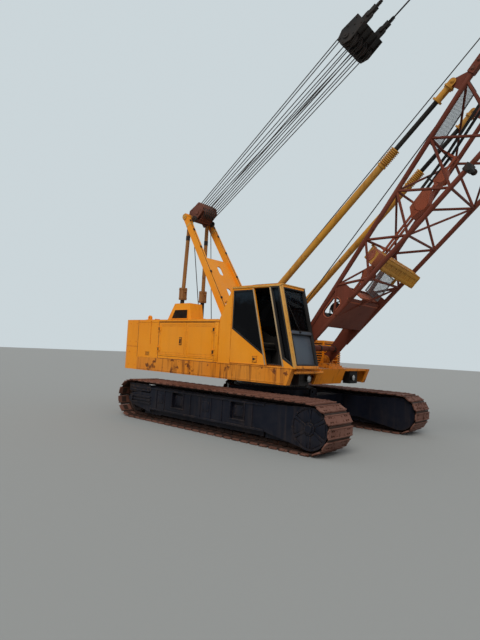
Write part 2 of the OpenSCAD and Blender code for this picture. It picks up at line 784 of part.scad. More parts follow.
// pane outline of the sliding door: a slanted lower edge runs down to the front post
module door_pane() {
    polygon([[cab_rear + 48, cab_floor + 745], [cab_rear + 48, pane_top],
             [lean_x(door_front_top - 40, pane_top), pane_top],
             [lean_x(door_front_top - 40, cab_floor + 260), cab_floor + 260]]);
}

module cab_door() {
    color(YELLOW) difference() {
        side_plate(cab_right + door_t / 2, door_t)
            polygon([[cab_rear + 5, sill_z + fit_gap], [cab_rear + 5, rail_z - 4],
                     [lean_x(door_front_top, rail_z), rail_z - 4],
                     [lean_x(door_front_top, sill_z), sill_z + fit_gap]]);
        side_plate(cab_right, 4 * door_t) door_pane();
    }
    // latch
    color(YELLOW) block([720, cab_right - 12, cab_floor + 70], [840, cab_right + bite, cab_floor + 200]);
}

module cab_door_glass() {
    color(GLASS) side_plate(cab_right + door_t / 2, pane_t) offset(delta = -fit_gap) door_pane();
}

console_w = 120;
console_y = -cab_side - cab_wall - 20;
// room between the side console and the door, which the seat shares out
seat_room = half_w - cab_wall + console_y - console_w;
seat_half_w = (seat_room - 135) / 2;
seat_x = 620;
seat_y = console_y - console_w - 17 - seat_half_w;
seat_half_l = 230;
// heights above the cab's floor
pan_top = 360;
cushion_h = 110;
back_h = 560;
back_lean = 8;
upright_t = 35;

// frame of the seat's back, leaning to the rear
module on_back() {
    translate([seat_x - 205, seat_y, cab_floor + pan_top + cushion_h + 15]) rotate([0, -back_lean, 0])
        children();
}

module seat_stand() {
    pan_z = cab_floor + pan_top - 30;
    block([seat_x - 150, seat_y - 150, cab_floor + cab_wall], [seat_x + 150, seat_y + 150, pan_z]);
    block([seat_x - seat_half_l, seat_y - seat_half_w, pan_z - bite],
          [seat_x + seat_half_l, seat_y + seat_half_w, cab_floor + pan_top]);
    on_back() block([-upright_t - fit_gap, -60, -cushion_h - 30], [-fit_gap, 60, back_h / 2]);
}

module seat_cushions() {
    color(BLACK) {
        block([seat_x - 180, seat_y - seat_half_w - 10, cab_floor + pan_top + fit_gap],
              [seat_x + 250, seat_y + seat_half_w + 10, cab_floor + pan_top + cushion_h]);
        on_back() block([0, -seat_half_w, 0], [100, seat_half_w, back_h]);
    }
}

console_h = 560;
lever_box_h = 420;
lever_n = 4;
lever_gap = 110;
lever_box_x = [1250, 1480];

module cab_fittings() {
    z0 = cab_floor + cab_wall;
    color(BLACK) {
        seat_stand();
        // side console and the box that carries the levers
        block([seat_x - 100, console_y - console_w + 20, z0], [seat_x + 420, console_y, z0 + console_h]);
        block([lever_box_x[0], seat_y - seat_half_w - 20, z0],
              [lever_box_x[1], console_y - console_w, z0 + lever_box_h]);
    }
    color(STEEL) for (i = [0:lever_n - 1]) {
        foot = [lever_box_x[0] + 80, seat_y - 170 + i * lever_gap, z0 + lever_box_h - 10];
        knob = foot + [-40, 0, 350];
        bar(foot, knob, 12);
        translate(knob + [0, 0, 10]) sphere(r = 26, $fn = 24);
    }
    // pedals on arms that come out of the lever box
    color(STEEL) for (y = [seat_y - 150, seat_y + 30]) {
        bar([lever_box_x[1] - 30, y, z0 + 60], [lever_box_x[1] + 60, y, z0 + 180], 14);
        translate([lever_box_x[1] + 50, y, z0 + 190])
            rotate([0, -25, 0]) cube([14, 110, 150], center = true);
    }
}

lamp_r = 75;
lamp_box_y = [830, 1180];
lamp_box_z = deck_z - 330;
lamp_box_x = [deck_front - 280, deck_front - 110];

module lamps() {
    for (s = [-1, 1]) {
        color(BLACK) block([lamp_box_x[0], min(s * lamp_box_y), lamp_box_z],
                           [lamp_box_x[1], max(s * lamp_box_y), deck_z - deck_t]);
        color(STEEL) translate([lamp_box_x[1] - bite, s * (lamp_box_y[0] + 80), deck_z - 200])
            rotate([0, 90, 0]) cylinder(h = 60, r1 = lamp_r * 0.7, r2 = lamp_r, $fn = 48);
    }
}

tank_front = 900;
tank_h = 620;

module fuel_tank() {
    color(YELLOW) {
        block([house_front + 40, aisle + 5, deck_z], [tank_front, half_w - 20, deck_z + tank_h]);
        // steps up to the deck, in front of the tank
        for (i = [0:4])
            block([tank_front + 60, aisle + 30, deck_z + 90 * i + 60],
                  [tank_front + 190, aisle + 330, deck_z + 90 * i + 85]);
        for (y = [aisle + 18, aisle + 330])
            block([tank_front + 60, y - 8, deck_z], [tank_front + 190, y + 8, deck_z + 520]);
        block([tank_front - bite, aisle + 100, deck_z + 420], [tank_front + 62, aisle + 140, deck_z + 450]);
    }
}

// boom, drawn along +X from its foot pin and then turned up to its angle

foot_half = 60;
// half depth of the butt section at distance s from the foot pin
function butt_z(s) = foot_half + (chord_z - foot_half) * s / section_l;
tip_y = 300;
tip_z = 190;
function tip_share(s) = (s - 2 * section_l) / section_l;
function half_y(s) = s <= 2 * section_l ? chord_y : chord_y + (tip_y - chord_y) * tip_share(s);
function half_z(s) = s <= section_l ? butt_z(s) :
                     s <= 2 * section_l ? chord_z : chord_z + (tip_z - chord_z) * tip_share(s);

module on_boom() {
    translate([foot_x, 0, foot_z]) rotate([0, -boom_angle, 0]) children();
}

// point of a chord at s: e is -1 right or 1 left, t is -1 lower or 1 upper
function chord_point(s, e, t) = [s, e * half_y(s), t * half_z(s)];

// zigzag lacing on all four faces: top stations, bottom stations half a bay before them;
// the lower face has no diagonal in the bay numbered open_bay
module lacing(s0, bay, n, open_bay = -1) {
    for (i = [0:n - 1]) {
        top = s0 + i * bay;
        low = top - bay / 2;
        for (e = [-1, 1]) {
            bar(chord_point(low, e, -1), chord_point(top, e, 1), lace_r);
            if (i < n - 1) bar(chord_point(top, e, 1), chord_point(low + bay, e, -1), lace_r);
        }
        for (q = [[low, -1], [top, 1]]) {
            bar(chord_point(q[0], -1, q[1]), chord_point(q[0], 1, q[1]), lace_r);
            if (i < n - 1 && (q[1] > 0 || i != open_bay))
                bar(chord_point(q[0], i % 2 * 2 - 1, q[1]),
                    chord_point(q[0] + bay, 1 - i % 2 * 2, q[1]), lace_r * 0.85);
        }
    }
}

// a tapering chord stops this far short of its section's end, inside its pin block
chord_inset = 12;

// four chords from s0 to s1 with square pin blocks at the ends that ask for them
module chords(s0, s1, block_start, block_end) {
    b = chord_r + 14;
    for (e = [-1, 1], t = [-1, 1]) {
        bar(chord_point(s0 + (block_start ? chord_inset : 0), e, t),
            chord_point(s1 - (block_end ? chord_inset : 0), e, t), chord_r, 12);
        if (block_start) translate(chord_point(s0, e, t) + [0, -b, -b]) cube([150, 2 * b, 2 * b]);
        if (block_end) translate(chord_point(s1, e, t) + [-150, -b, -b]) cube([150, 2 * b, 2 * b]);
    }
}

plate_end = 1900;
// first upper lacing station of each section, and the length of a bay
butt_first = 1770;
bay = 1015;
next_first = 760;
foot_plate_t = 40;

module boom_butt() {
    color(RUST) on_boom() {
        chords(600, section_l, false, true);
        lacing(butt_first, bay, 5, winder_bay);
        // foot plates with their eyes, and the lugs that ride on the pins
        for (e = [-1, 1]) difference() {
            union() {
                side_plate(e * lug_y, foot_plate_t) {
                    circle(r = 110, $fn = 64);
                    polygon([[0, -110], [600, -butt_z(600) - 30], [plate_end, -butt_z(plate_end)],
                             [plate_end, butt_z(plate_end)], [600, butt_z(600) + 30], [0, 110]]);
                }
                side_plate(e * lug_y, lug_t) circle(r = 95, $fn = 64);
            }
            side_plate(e * lug_y, 2 * lug_t) circle(r = foot_pin_r, $fn = 64);
            side_plate(e * lug_y, 2 * lug_t) {
                translate([1250, 0]) circle(r = 95, $fn = 48);
                translate([1500, 0]) circle(r = 95, $fn = 48);
                translate([1250, -95]) square([250, 190]);
            }
        }
        // cross tubes and floor plate between the foot plates
        for (s = [330, 980]) cross_bar(s, -lug_y, lug_y, 0, 60, 12);
        block([1050, -lug_y, -butt_z(1400) - 12], [1750, lug_y, -butt_z(1400) + 12]);
        // brackets that hold the boom stops' upper pins
        for (e = [-1, 1]) difference() {
            side_plate(e * stop_top_y, bracket_t) {
                translate([stop_s, stop_h]) circle(r = 62, $fn = 48);
                polygon([[stop_s - 62, butt_z(stop_s)], [stop_s - 62, stop_h], [stop_s, stop_h + 62],
                         [stop_s + 320, butt_z(stop_s) + 60], [stop_s + 330, butt_z(stop_s)]]);
            }
            side_plate(e * stop_top_y, 4 * bracket_t) translate([stop_s, stop_h]) circle(r = 22, $fn = 32);
        }
    }
}

module boom_middle() {
    color(RUST) on_boom() {
        chords(section_l, 2 * section_l, true, true);
        lacing(section_l + next_first, bay, 5);
    }
}

head_lug_t = 40;
// distance of the head's sheaves below the boom's middle
head_drop = 300;
pendant_y = 300;
jib_pin_s = 3 * section_l + 10;
jib_pin_z = 90;
jib_pin_r = 30;

module boom_tip() {
    s1 = 3 * section_l;
    color(RUST) on_boom() difference() {
        union() {
            chords(2 * section_l, s1 - 600, true, false);
            lacing(2 * section_l + next_first, bay, 5);
            // head plates that hold the sheaves and the pendants
            for (e = [-1, 1]) side_plate(e * (tip_y + 10), head_lug_t)
                union() {
                    polygon([[s1 - 900, -half_z(s1 - 900)], [s1 - 900, half_z(s1 - 900)],
                             [s1 - 560, half_z(s1 - 560) + 170], [s1 - 440, half_z(s1 - 560) + 170],
                             [s1 + 60, 60], [s1 + 140, -head_drop], [s1 - 60, -head_drop - 130],
                             [s1 - 560, -tip_z - 110]]);
                    translate([s1, -head_drop]) circle(r = 140, $fn = 64);
                    translate([jib_pin_s, jib_pin_z]) circle(r = 85, $fn = 64);
                }
            cross_bar(s1 - 700, -tip_y, tip_y, 100, 50, 12);
            cross_bar(jib_pin_s, -tip_y, tip_y, jib_pin_z, jib_pin_r + 20);
        }
        // bores for the pendants' pin and for a jib's feet
        side_plate(0, 3 * tip_y) translate([pendant_s, pendant_h]) circle(r = 32, $fn = 48);
        side_plate(0, 3 * tip_y) translate([jib_pin_s, jib_pin_z]) circle(r = jib_pin_r, $fn = 48);
        side_plate(0, 3 * tip_y) translate([s1, -head_drop]) circle(r = 50, $fn = 48);
    }
}
pendant_s = 3 * section_l - 500;
pendant_h = half_z(3 * section_l - 560) + 90;

head_sheave_w = 80;
head_pitch = 110;

module boom_sheaves() {
    color(BLACK) on_boom() {
        cross_bar(3 * section_l, -tip_y - 50, tip_y + 50, -head_drop, 50 - fit_gap);
        for (i = [-1.5:1:1.5])
            sheave(3 * section_l, i * head_pitch, -head_drop, head_sheave_r, head_sheave_w, 49);
    }
}

// suspension from the gantry to the boom's head: bail and pendants

// a line from the gantry's sheaves to the pendants' pin, in the side view
head_at = [-gantry_x + sheave_s * cos(head_lean), gantry_z + sheave_s * sin(head_lean)];
pendant_at = [foot_x + pendant_s * cos(boom_angle) - pendant_h * sin(boom_angle),
              foot_z + pendant_s * sin(boom_angle) + pendant_h * cos(boom_angle)];
stay_angle = atan2(pendant_at[1] - head_at[1], pendant_at[0] - head_at[0]);
stay_l = norm(pendant_at - head_at);
// distance of the bail's sheaves from the gantry's along the stay
bail_s = 5400;
bail_l = 420;
pendant_r = 16;
// length of the eye plates that straddle the boom head's plates
eye_l = 340;

module on_stay() {
    translate([head_at[0], 0, head_at[1]]) rotate([0, -stay_angle, 0]) children();
}

module bail() {
    half = pendant_y + 110;
    color(BLACK) on_stay() {
        // cheeks, cover and sheaves
        for (y = [-half, -half / 2, 0, half / 2, half]) side_plate(y, 24)
            polygon([[bail_s - 170, -90], [bail_s - 190, 90], [bail_s, 190], [bail_s + bail_l, 150],
                     [bail_s + bail_l, -130], [bail_s, -170]]);
        block([bail_s + 120, -half, 120], [bail_s + bail_l, half, 150]);
        block([bail_s + 200, -half, -110], [bail_s + bail_l, half, -85]);
        cross_bar(bail_s, -half - 20, half + 20, 0, 45);
        for (i = [-1.5:1:1.5], j = [-0.5, 0.5]) sheave(bail_s, i * half / 2 + j * 80, 0, 190, 60, 44);
        // lugs for the pendants
        for (s = [-1, 1]) difference() {
            side_plate(s * pendant_y, 60) {
                translate([bail_s + bail_l + 130, 0]) circle(r = 85, $fn = 48);
                translate([bail_s + bail_l - 40, -85]) square([170, 170]);
            }
            side_plate(s * pendant_y, 100) translate([bail_s + bail_l + 130, 0]) circle(r = 28, $fn = 32);
        }
    }
}

module pendants() {
    s0 = bail_s + bail_l + 130;
    color(BLACK) for (e = [-1, 1]) {
        on_stay() {
            // clevis on the bail's lug with its pin, then the rope
            cross_bar(s0, e * pendant_y - 55, e * pendant_y + 55, 0, 28 - fit_gap, 32);
            for (d = [-1, 1]) side_plate(e * pendant_y + d * 42, 20) {
                translate([s0, 0]) circle(r = 50, $fn = 32);
                translate([s0, -40]) square([190, 80]);
            }
            block([s0 + 110, e * pendant_y - 52, -40], [s0 + 200, e * pendant_y + 52, 40]);
            bar([s0 + 190, e * pendant_y, 0], [s0 + 330, e * pendant_y, 0], 34, 12);
            bar([s0 + 320, e * pendant_y, 0], [stay_l - eye_l - 130, e * pendant_y, 0], pendant_r, 8);
            bar([stay_l - eye_l - 150, e * pendant_y, 0], [stay_l - eye_l, e * pendant_y, 0], 34, 12);
        }
        // eye on the pin through the boom head's plate
        on_stay() {
            for (d = [-1, 1]) side_plate(e * (tip_y + 10) + d * (head_lug_t / 2 + 12.3), 24) {
                translate([stay_l, 0]) circle(r = 60, $fn = 32);
                translate([stay_l - eye_l, -40]) square([eye_l, 80]);
            }
            block([stay_l - eye_l - 12, e * (tip_y + 10) - 52, -46],
                  [stay_l - eye_l + 60, e * (tip_y + 10) + 52, 46]);
            cross_bar(stay_l, e * (tip_y + 10) - 60, e * (tip_y + 10) + 60, 0, 32 - fit_gap, 32);
        }
    }
}

// tagline gear inside the butt section

// bay of the butt's lower lacing that the winder passes through
winder_bay = 1;
winder_l = 1070;
winder_w = 250;
winder_h = 370;
winder_roll = -32.6;
winder_s = butt_first + winder_bay * bay - 180;

module tagline_winder() {
    // ribbed drum box across the boom, lower on its left
    upper_s = butt_first + winder_bay * bay;
    low_s = upper_s - bay / 2;
    // distance from a cross bar's middle to its flat side
    lace_flat = lace_r * cos(30);
    color(OCHRE) on_boom() {
        translate([winder_s, 0, -170]) rotate([winder_roll, 0, 0]) {
            cube([winder_w, winder_l, winder_h], center = true);
            for (i = [-4:4])
                translate([0, i * 120, 0]) cube([winder_w + 24, 26, winder_h + 24], center = true);
        }
        // brackets to the cross lacing in front above and behind below
        block([winder_s + winder_w / 2 - bite, -345, butt_z(upper_s) - 90],
              [upper_s - lace_flat - fit_gap, -295, butt_z(upper_s) + 20]);
        block([low_s + lace_flat + fit_gap, 280, -butt_z(low_s) - 20],
              [winder_s - winder_w / 2 + bite, 330, -butt_z(low_s) + 20]);
    }
}

guide_h = 36;
// the rails run just under the butt's first upper cross lacing
guide_z = butt_z(butt_first) - lace_r - guide_h - 4;
guide_y = [-60, 70];

module tagline_guide() {
    color(RUST) on_boom() {
        for (y = guide_y)
            block([1200, y - 18, guide_z], [butt_first + 3 * bay + 30, y + 18, guide_z + guide_h]);
        // cheeks of the guide sheaves: place along the boom and size
        for (c = [[2200, 1], [3850, 1.3], [4400, 0.8]]) side_plate(5, 190) {
            s = c[0];
            top = min(guide_z + 110 * c[1], butt_z(s - 120) - lace_r - 6);
            polygon([[s - 230 * c[1], guide_z - 30], [s - 120 * c[1], top], [s + 160 * c[1], top],
                     [s + 230 * c[1], guide_z], [s + 60 * c[1], guide_z - 90 * c[1]]]);
        }
        // hangers from the butt's upper cross lacing
        for (i = [1:3], s = butt_first + i * bay)
            block([s - 20, guide_y[0] - 18, guide_z + guide_h - bite],
                  [s + 20, guide_y[1] + 18, butt_z(s) - lace_r - fit_gap]);
    }
}

walkway_w = 450;

module boom_walkway() {
    // mesh panel laid on the last bay of the butt's upper lacing, along its taper
    s0 = butt_first + 3 * bay - 60;
    taper = atan2(chord_z - foot_half, section_l);
    color(STEEL) on_boom() translate([s0, 0, butt_z(s0)]) rotate([0, -taper, 0])
        block([0, -stop_top_y + bracket_t / 2 + 10, lace_r + fit_gap],
              [bay + 120, -stop_top_y + bracket_t / 2 + 10 + walkway_w, lace_r + 20]);
}

// telescoping boom stops, opened at the rods' upper eyes

stop_z = 1600;
stop_top_y = 620;
stop_pin_r = 22;
// gap beside a stop's eye, which stands a little askew between its ears
stop_side_gap = 1.5;
stop_eye_t = 60;
bracket_t = 30;
stop_top = [foot_x + stop_s * cos(boom_angle) - stop_h * sin(boom_angle),
            foot_z + stop_s * sin(boom_angle) + stop_h * cos(boom_angle)];
stop_l = norm([stop_top[0] + stop_x, stop_top_y - stop_y, stop_top[1] - stop_z]);
stop_pitch = atan2(stop_top[1] - stop_z, stop_top[0] + stop_x);
tube_l = stop_l - 1700;
spring_l = 330;
bore_l = 3100;
// distance of the rod's inner end from the bottom of its bore
rod_in = 930;
// gap between a rod's fork and the boom's bracket
fork_gap = 20;

// along +X from a stop's lower pin, in the stop's own plane
module on_stop(side) {
    translate([-stop_x, side * stop_y, stop_z]) rotate([0, -stop_pitch, 0])
        rotate([0, 0, side * asin((stop_top_y - stop_y) / stop_l)]) children();
}

// round bar along X
module long_bar(x0, x1, r, n = 32) {
    translate([x0, 0, 0]) rotate([0, 90, 0]) cylinder(h = x1 - x0, r = r, $fn = n);
}

module stop_tube(side) {
    color(OCHRE) on_stop(side) difference() {
        union() {
            side_plate(0, stop_eye_t) circle(r = 55, $fn = 48);
            side_plate(0, stop_eye_t) translate([0, -45]) square([160, 90]);
            long_bar(120, tube_l, stop_r);
            long_bar(tube_l - bite, tube_l + spring_l, stop_r - 2);
            // turns of the buffer spring
            for (i = [0:8]) translate([tube_l + 18 + i * (spring_l - 36) / 8, 0, 0]) rotate([0, 90, 0])
                rotate_extrude($fn = 32) translate([stop_r + 8, 0]) circle(r = 14, $fn = 8);
        }
        long_bar(tube_l + spring_l - bore_l, tube_l + spring_l + 1, stop_rod_r + fit_gap);
        side_plate(0, 2 * stop_eye_t) circle(r = stop_pin_r, $fn = 32);
    }
}

module stop_rod(side) {
    collar = stop_l - 380;
    color(BLACK) on_stop(side) long_bar(tube_l + spring_l - bore_l + rod_in, collar + bite, stop_rod_r);
    color(OCHRE) on_stop(side) difference() {
        union() {
            long_bar(collar, stop_l - 70, 62);
            for (x = [collar, stop_l - 110]) long_bar(x, x + 30, 92);
            side_plate(0, 100) {
                translate([stop_l, 0]) circle(r = 60, $fn = 48);
                translate([stop_l - 140, -60]) square([140, 120]);
            }
        }
        // slot that straddles the boom's bracket, and the eye's bore
        translate([stop_l - 260, -bracket_t / 2 - fork_gap, -150])
            cube([400, bracket_t + 2 * fork_gap, 300]);
        side_plate(0, 200) translate([stop_l, 0]) circle(r = stop_pin_r, $fn = 32);
    }
}

// hook block hanging from the boom's head

head_x = foot_x + 3 * section_l * cos(boom_angle) + head_drop * sin(boom_angle);
head_z = foot_z + 3 * section_l * sin(boom_angle) - head_drop * cos(boom_angle);
fall_r = 11;
head_seat = rope_seat(head_sheave_r, head_sheave_w, fall_r);
block_z = head_z - hook_drop;
block_sheave_r = 230;
block_sheave_w = 70;
block_seat = rope_seat(block_sheave_r, block_sheave_w, fall_r);
block_x = head_x + head_seat - block_seat;
// further room at the head for a fall that slants across to the sheave beside its own
slant_gap = 0.7;

module hoist_falls() {
    color(STEEL) for (s = [-1, 1]) {
        // in front straight down from an outer sheave, behind up to the sheave beside it
        bar([head_x + head_seat, s * 1.5 * head_pitch, block_z],
            [head_x + head_seat, s * 1.5 * head_pitch, head_z], fall_r, 8);
        bar([block_x - block_seat, s * 1.5 * head_pitch, block_z],
            [head_x - head_seat - slant_gap, s * 0.5 * head_pitch, head_z], fall_r, 8);
    }
}

module hook_block() {
    x = block_x;
    color(YELLOW) {
        for (y = [-210, 0, 210]) side_plate(y, 24)
            polygon([[x - 160, block_z - 330], [x - 220, block_z], [x - 130, block_z + 200],
                     [x + 130, block_z + 200], [x + 220, block_z], [x + 160, block_z - 330]]);
        for (s = [-1, 1])
            block([x - 130, s * 105 - 93, block_z + 170], [x + 130, s * 105 + 93, block_z + 196]);
        block([x - 150, -198, block_z - 360], [x + 150, 198, block_z - 300]);
    }
    color(STEEL) {
        cross_bar(x, -240, 240, block_z, 45);
        for (s = [-1, 1]) sheave(x, s * 1.5 * head_pitch, block_z, block_sheave_r, block_sheave_w, 44);
        // shank and hook
        translate([x, 0, block_z - 520]) cylinder(h = 170, r = 55, $fn = 48);
        translate([x + 40, 0, block_z - 700]) rotate([90, 0, 0]) difference() {
            rotate_extrude($fn = 64) translate([160, 0]) circle(r = 52, $fn = 24);
            translate([40, 20, -80]) cube([300, 110, 160]);
        }
    }
}

car_body();
swing_ring();
track_frame(-1);  // track_frame_right
track_frame(1);  // track_frame_left
track(-1);  // track_right
track(1);  // track_left
track_wheels(-1);  // track_wheels_right
track_wheels(1);  // track_wheels_left
deck();
counterweight();
house(-1);  // house_right
house(1);  // house_left
engine();
exhaust_hood();
winches();
gantry_front();
gantry_rear();
gantry_head();
cab();
cab_glass();
seat_cushions();
cab_fittings();
lamps();
fuel_tank();
cab_door();
cab_door_glass();
house_door(-1, -1);  // door_right_rear
house_door(-1, 1);  // door_right_front
house_door(1, -1);  // door_left_rear
house_door(1, 1);  // door_left_front
boom_butt();
boom_middle();
boom_tip();
boom_sheaves();
bail();
pendants();
tagline_winder();
tagline_guide();
boom_walkway();
stop_tube(-1);  // stop_tube_right
stop_tube(1);  // stop_tube_left
stop_rod(-1);  // stop_rod_right
stop_rod(1);  // stop_rod_left
hoist_falls();
hook_block();
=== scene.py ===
import math

import bpy
from mathutils import Matrix, Vector


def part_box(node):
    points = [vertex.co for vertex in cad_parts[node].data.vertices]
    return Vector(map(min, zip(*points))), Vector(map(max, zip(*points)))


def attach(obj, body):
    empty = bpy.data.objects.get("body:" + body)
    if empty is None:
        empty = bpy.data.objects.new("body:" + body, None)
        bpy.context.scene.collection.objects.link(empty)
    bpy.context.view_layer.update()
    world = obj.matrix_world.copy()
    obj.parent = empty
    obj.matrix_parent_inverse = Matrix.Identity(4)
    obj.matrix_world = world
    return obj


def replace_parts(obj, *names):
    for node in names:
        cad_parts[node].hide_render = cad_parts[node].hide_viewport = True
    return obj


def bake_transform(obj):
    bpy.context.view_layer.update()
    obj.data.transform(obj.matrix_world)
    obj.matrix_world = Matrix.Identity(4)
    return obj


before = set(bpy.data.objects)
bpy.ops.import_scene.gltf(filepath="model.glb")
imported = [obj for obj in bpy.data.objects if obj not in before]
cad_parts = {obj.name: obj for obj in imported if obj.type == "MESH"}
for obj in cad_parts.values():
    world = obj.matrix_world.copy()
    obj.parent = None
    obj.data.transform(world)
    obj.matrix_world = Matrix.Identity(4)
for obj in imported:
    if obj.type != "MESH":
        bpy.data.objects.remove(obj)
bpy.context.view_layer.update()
scene = bpy.context.scene
scene.view_settings.view_transform = "Standard"
bpy.ops.object.select_all(action="DESELECT")

# Camera
# It stands at eye height off the right front of the machine, looks a little up and is rolled
# a little, as the photograph was taken. The frame is 480 by 640.
camera_data = bpy.data.cameras.new("camera")
camera = bpy.data.objects.new("camera", camera_data)
scene.collection.objects.link(camera)
camera_data.sensor_width = 36.0
camera_data.lens = 26.29
camera_data.clip_end = 400.0
camera_place = Vector((6.723, -8.740, 1.686))
camera_yaw = math.radians(41.714)
camera_pitch = math.radians(3.614)
camera_roll = math.radians(2.922)
camera.matrix_world = (
    Matrix.Translation(camera_place)
    @ Matrix.Rotation(camera_yaw, 4, "Z")
    @ Matrix.Rotation(math.pi / 2 + camera_pitch, 4, "X")
    @ Matrix.Rotation(camera_roll, 4, "Z")
)
scene.camera = camera

# Floor, sky and lights
# A wide pale floor takes the machine's shadow, a pale sky stands behind it, and one broad soft
# lamp from the upper right front is added to the sky's even light, as on an overcast day.
bpy.ops.mesh.primitive_plane_add(size=160, location=(0, 0, 0))
floor = bpy.context.object
floor.name = "floor"
floor_finish = bpy.data.materials.new("pale_floor")
floor_finish.use_nodes = True
floor_shader = floor_finish.node_tree.nodes["Principled BSDF"].inputs
floor_shader["Base Color"].default_value = (0.30, 0.31, 0.30, 1)
floor_shader["Roughness"].default_value = 0.9
floor.data.materials.append(floor_finish)

world = bpy.data.worlds.new("overcast")
scene.world = world
world.use_nodes = True
sky = world.node_tree
sky.nodes.clear()
sky_rays = sky.nodes.new("ShaderNodeLightPath")
sky_light = sky.nodes.new("ShaderNodeBackground")
sky_light.inputs["Color"].default_value = (0.93, 0.96, 1.0, 1)
sky_light.inputs["Strength"].default_value = 0.56
sky_view = sky.nodes.new("ShaderNodeBackground")
sky_view.inputs["Color"].default_value = (0.60, 0.67, 0.70, 1)
sky_view.inputs["Strength"].default_value = 1.0
sky_mix = sky.nodes.new("ShaderNodeMixShader")
sky_end = sky.nodes.new("ShaderNodeOutputWorld")
sky.links.new(sky_rays.outputs["Is Camera Ray"], sky_mix.inputs[0])
sky.links.new(sky_light.outputs[0], sky_mix.inputs[1])
sky.links.new(sky_view.outputs[0], sky_mix.inputs[2])
sky.links.new(sky_mix.outputs[0], sky_end.inputs[0])

sun_data = bpy.data.lights.new("soft_lamp", "SUN")
sun_data.energy = 1.75
sun_data.angle = math.radians(35)
sun_data.color = (1.0, 0.975, 0.94)
sun = bpy.data.objects.new("soft_lamp", sun_data)
scene.collection.objects.link(sun)
sun.rotation_euler = (math.radians(44), 0, math.radians(28))

# Paint of the upper machine
# Orange-yellow enamel on pressed and welded steel plate, sprayed on. It has faded in patches,
# chipped to rust at edges and seams, run down in brown streaks and gathered dust where it is flat.


def group_value(group, name, kind, value, low=0.0, high=1.0):
    """Adds one named input to a shader node group."""
    socket = group.interface.new_socket(name=name, in_out="INPUT", socket_type=kind)
    socket.default_value = value
    if kind == "NodeSocketFloat":
        socket.min_value = low
        socket.max_value = high


def noise(tree, place, scale, detail, roughness=0.55):
    """Fractal noise read at a place; gives its value."""
    node = tree.nodes.new("ShaderNodeTexNoise")
    node.inputs["Scale"].default_value = scale
    node.inputs["Detail"].default_value = detail
    node.inputs["Roughness"].default_value = roughness
    tree.links.new(place, node.inputs["Vector"])
    return node.outputs["Fac"]


def ramp(tree, value, low, high, out_low=0.0, out_high=1.0):
    """Maps a value from one range to another, clamped."""
    node = tree.nodes.new("ShaderNodeMapRange")
    node.inputs["From Min"].default_value = low
    node.inputs["From Max"].default_value = high
    node.inputs["To Min"].default_value = out_low
    node.inputs["To Max"].default_value = out_high
    tree.links.new(value, node.inputs["Value"])
    return node.outputs["Result"]


def math_node(tree, operation, a, b=0.0):
    """Joins two values, or a value and a number, by one operation."""
    node = tree.nodes.new("ShaderNodeMath")
    node.operation = operation
    for socket, value in zip(node.inputs, (a, b)):
        if isinstance(value, (int, float)):
            socket.default_value = value
        else:
            tree.links.new(value, socket)
    return node.outputs[0]


def mix_colour(tree, share, a, b, blend="MIX"):
    """Mixes two colours by a share."""
    node = tree.nodes.new("ShaderNodeMix")
    node.data_type = "RGBA"
    node.blend_type = blend
    for socket, value in ((node.inputs[0], share), (node.inputs[6], a), (node.inputs[7], b)):
        if isinstance(value, (int, float, tuple)):
            socket.default_value = value
        else:
            tree.links.new(value, socket)
    return node.outputs[2]


def stretched(tree, place, scale):
    """Scales a place along each axis, which stretches the pattern that reads it."""
    node = tree.nodes.new("ShaderNodeMapping")
    node.inputs["Scale"].default_value = scale
    tree.links.new(place, node.inputs["Vector"])
    return node.outputs["Vector"]


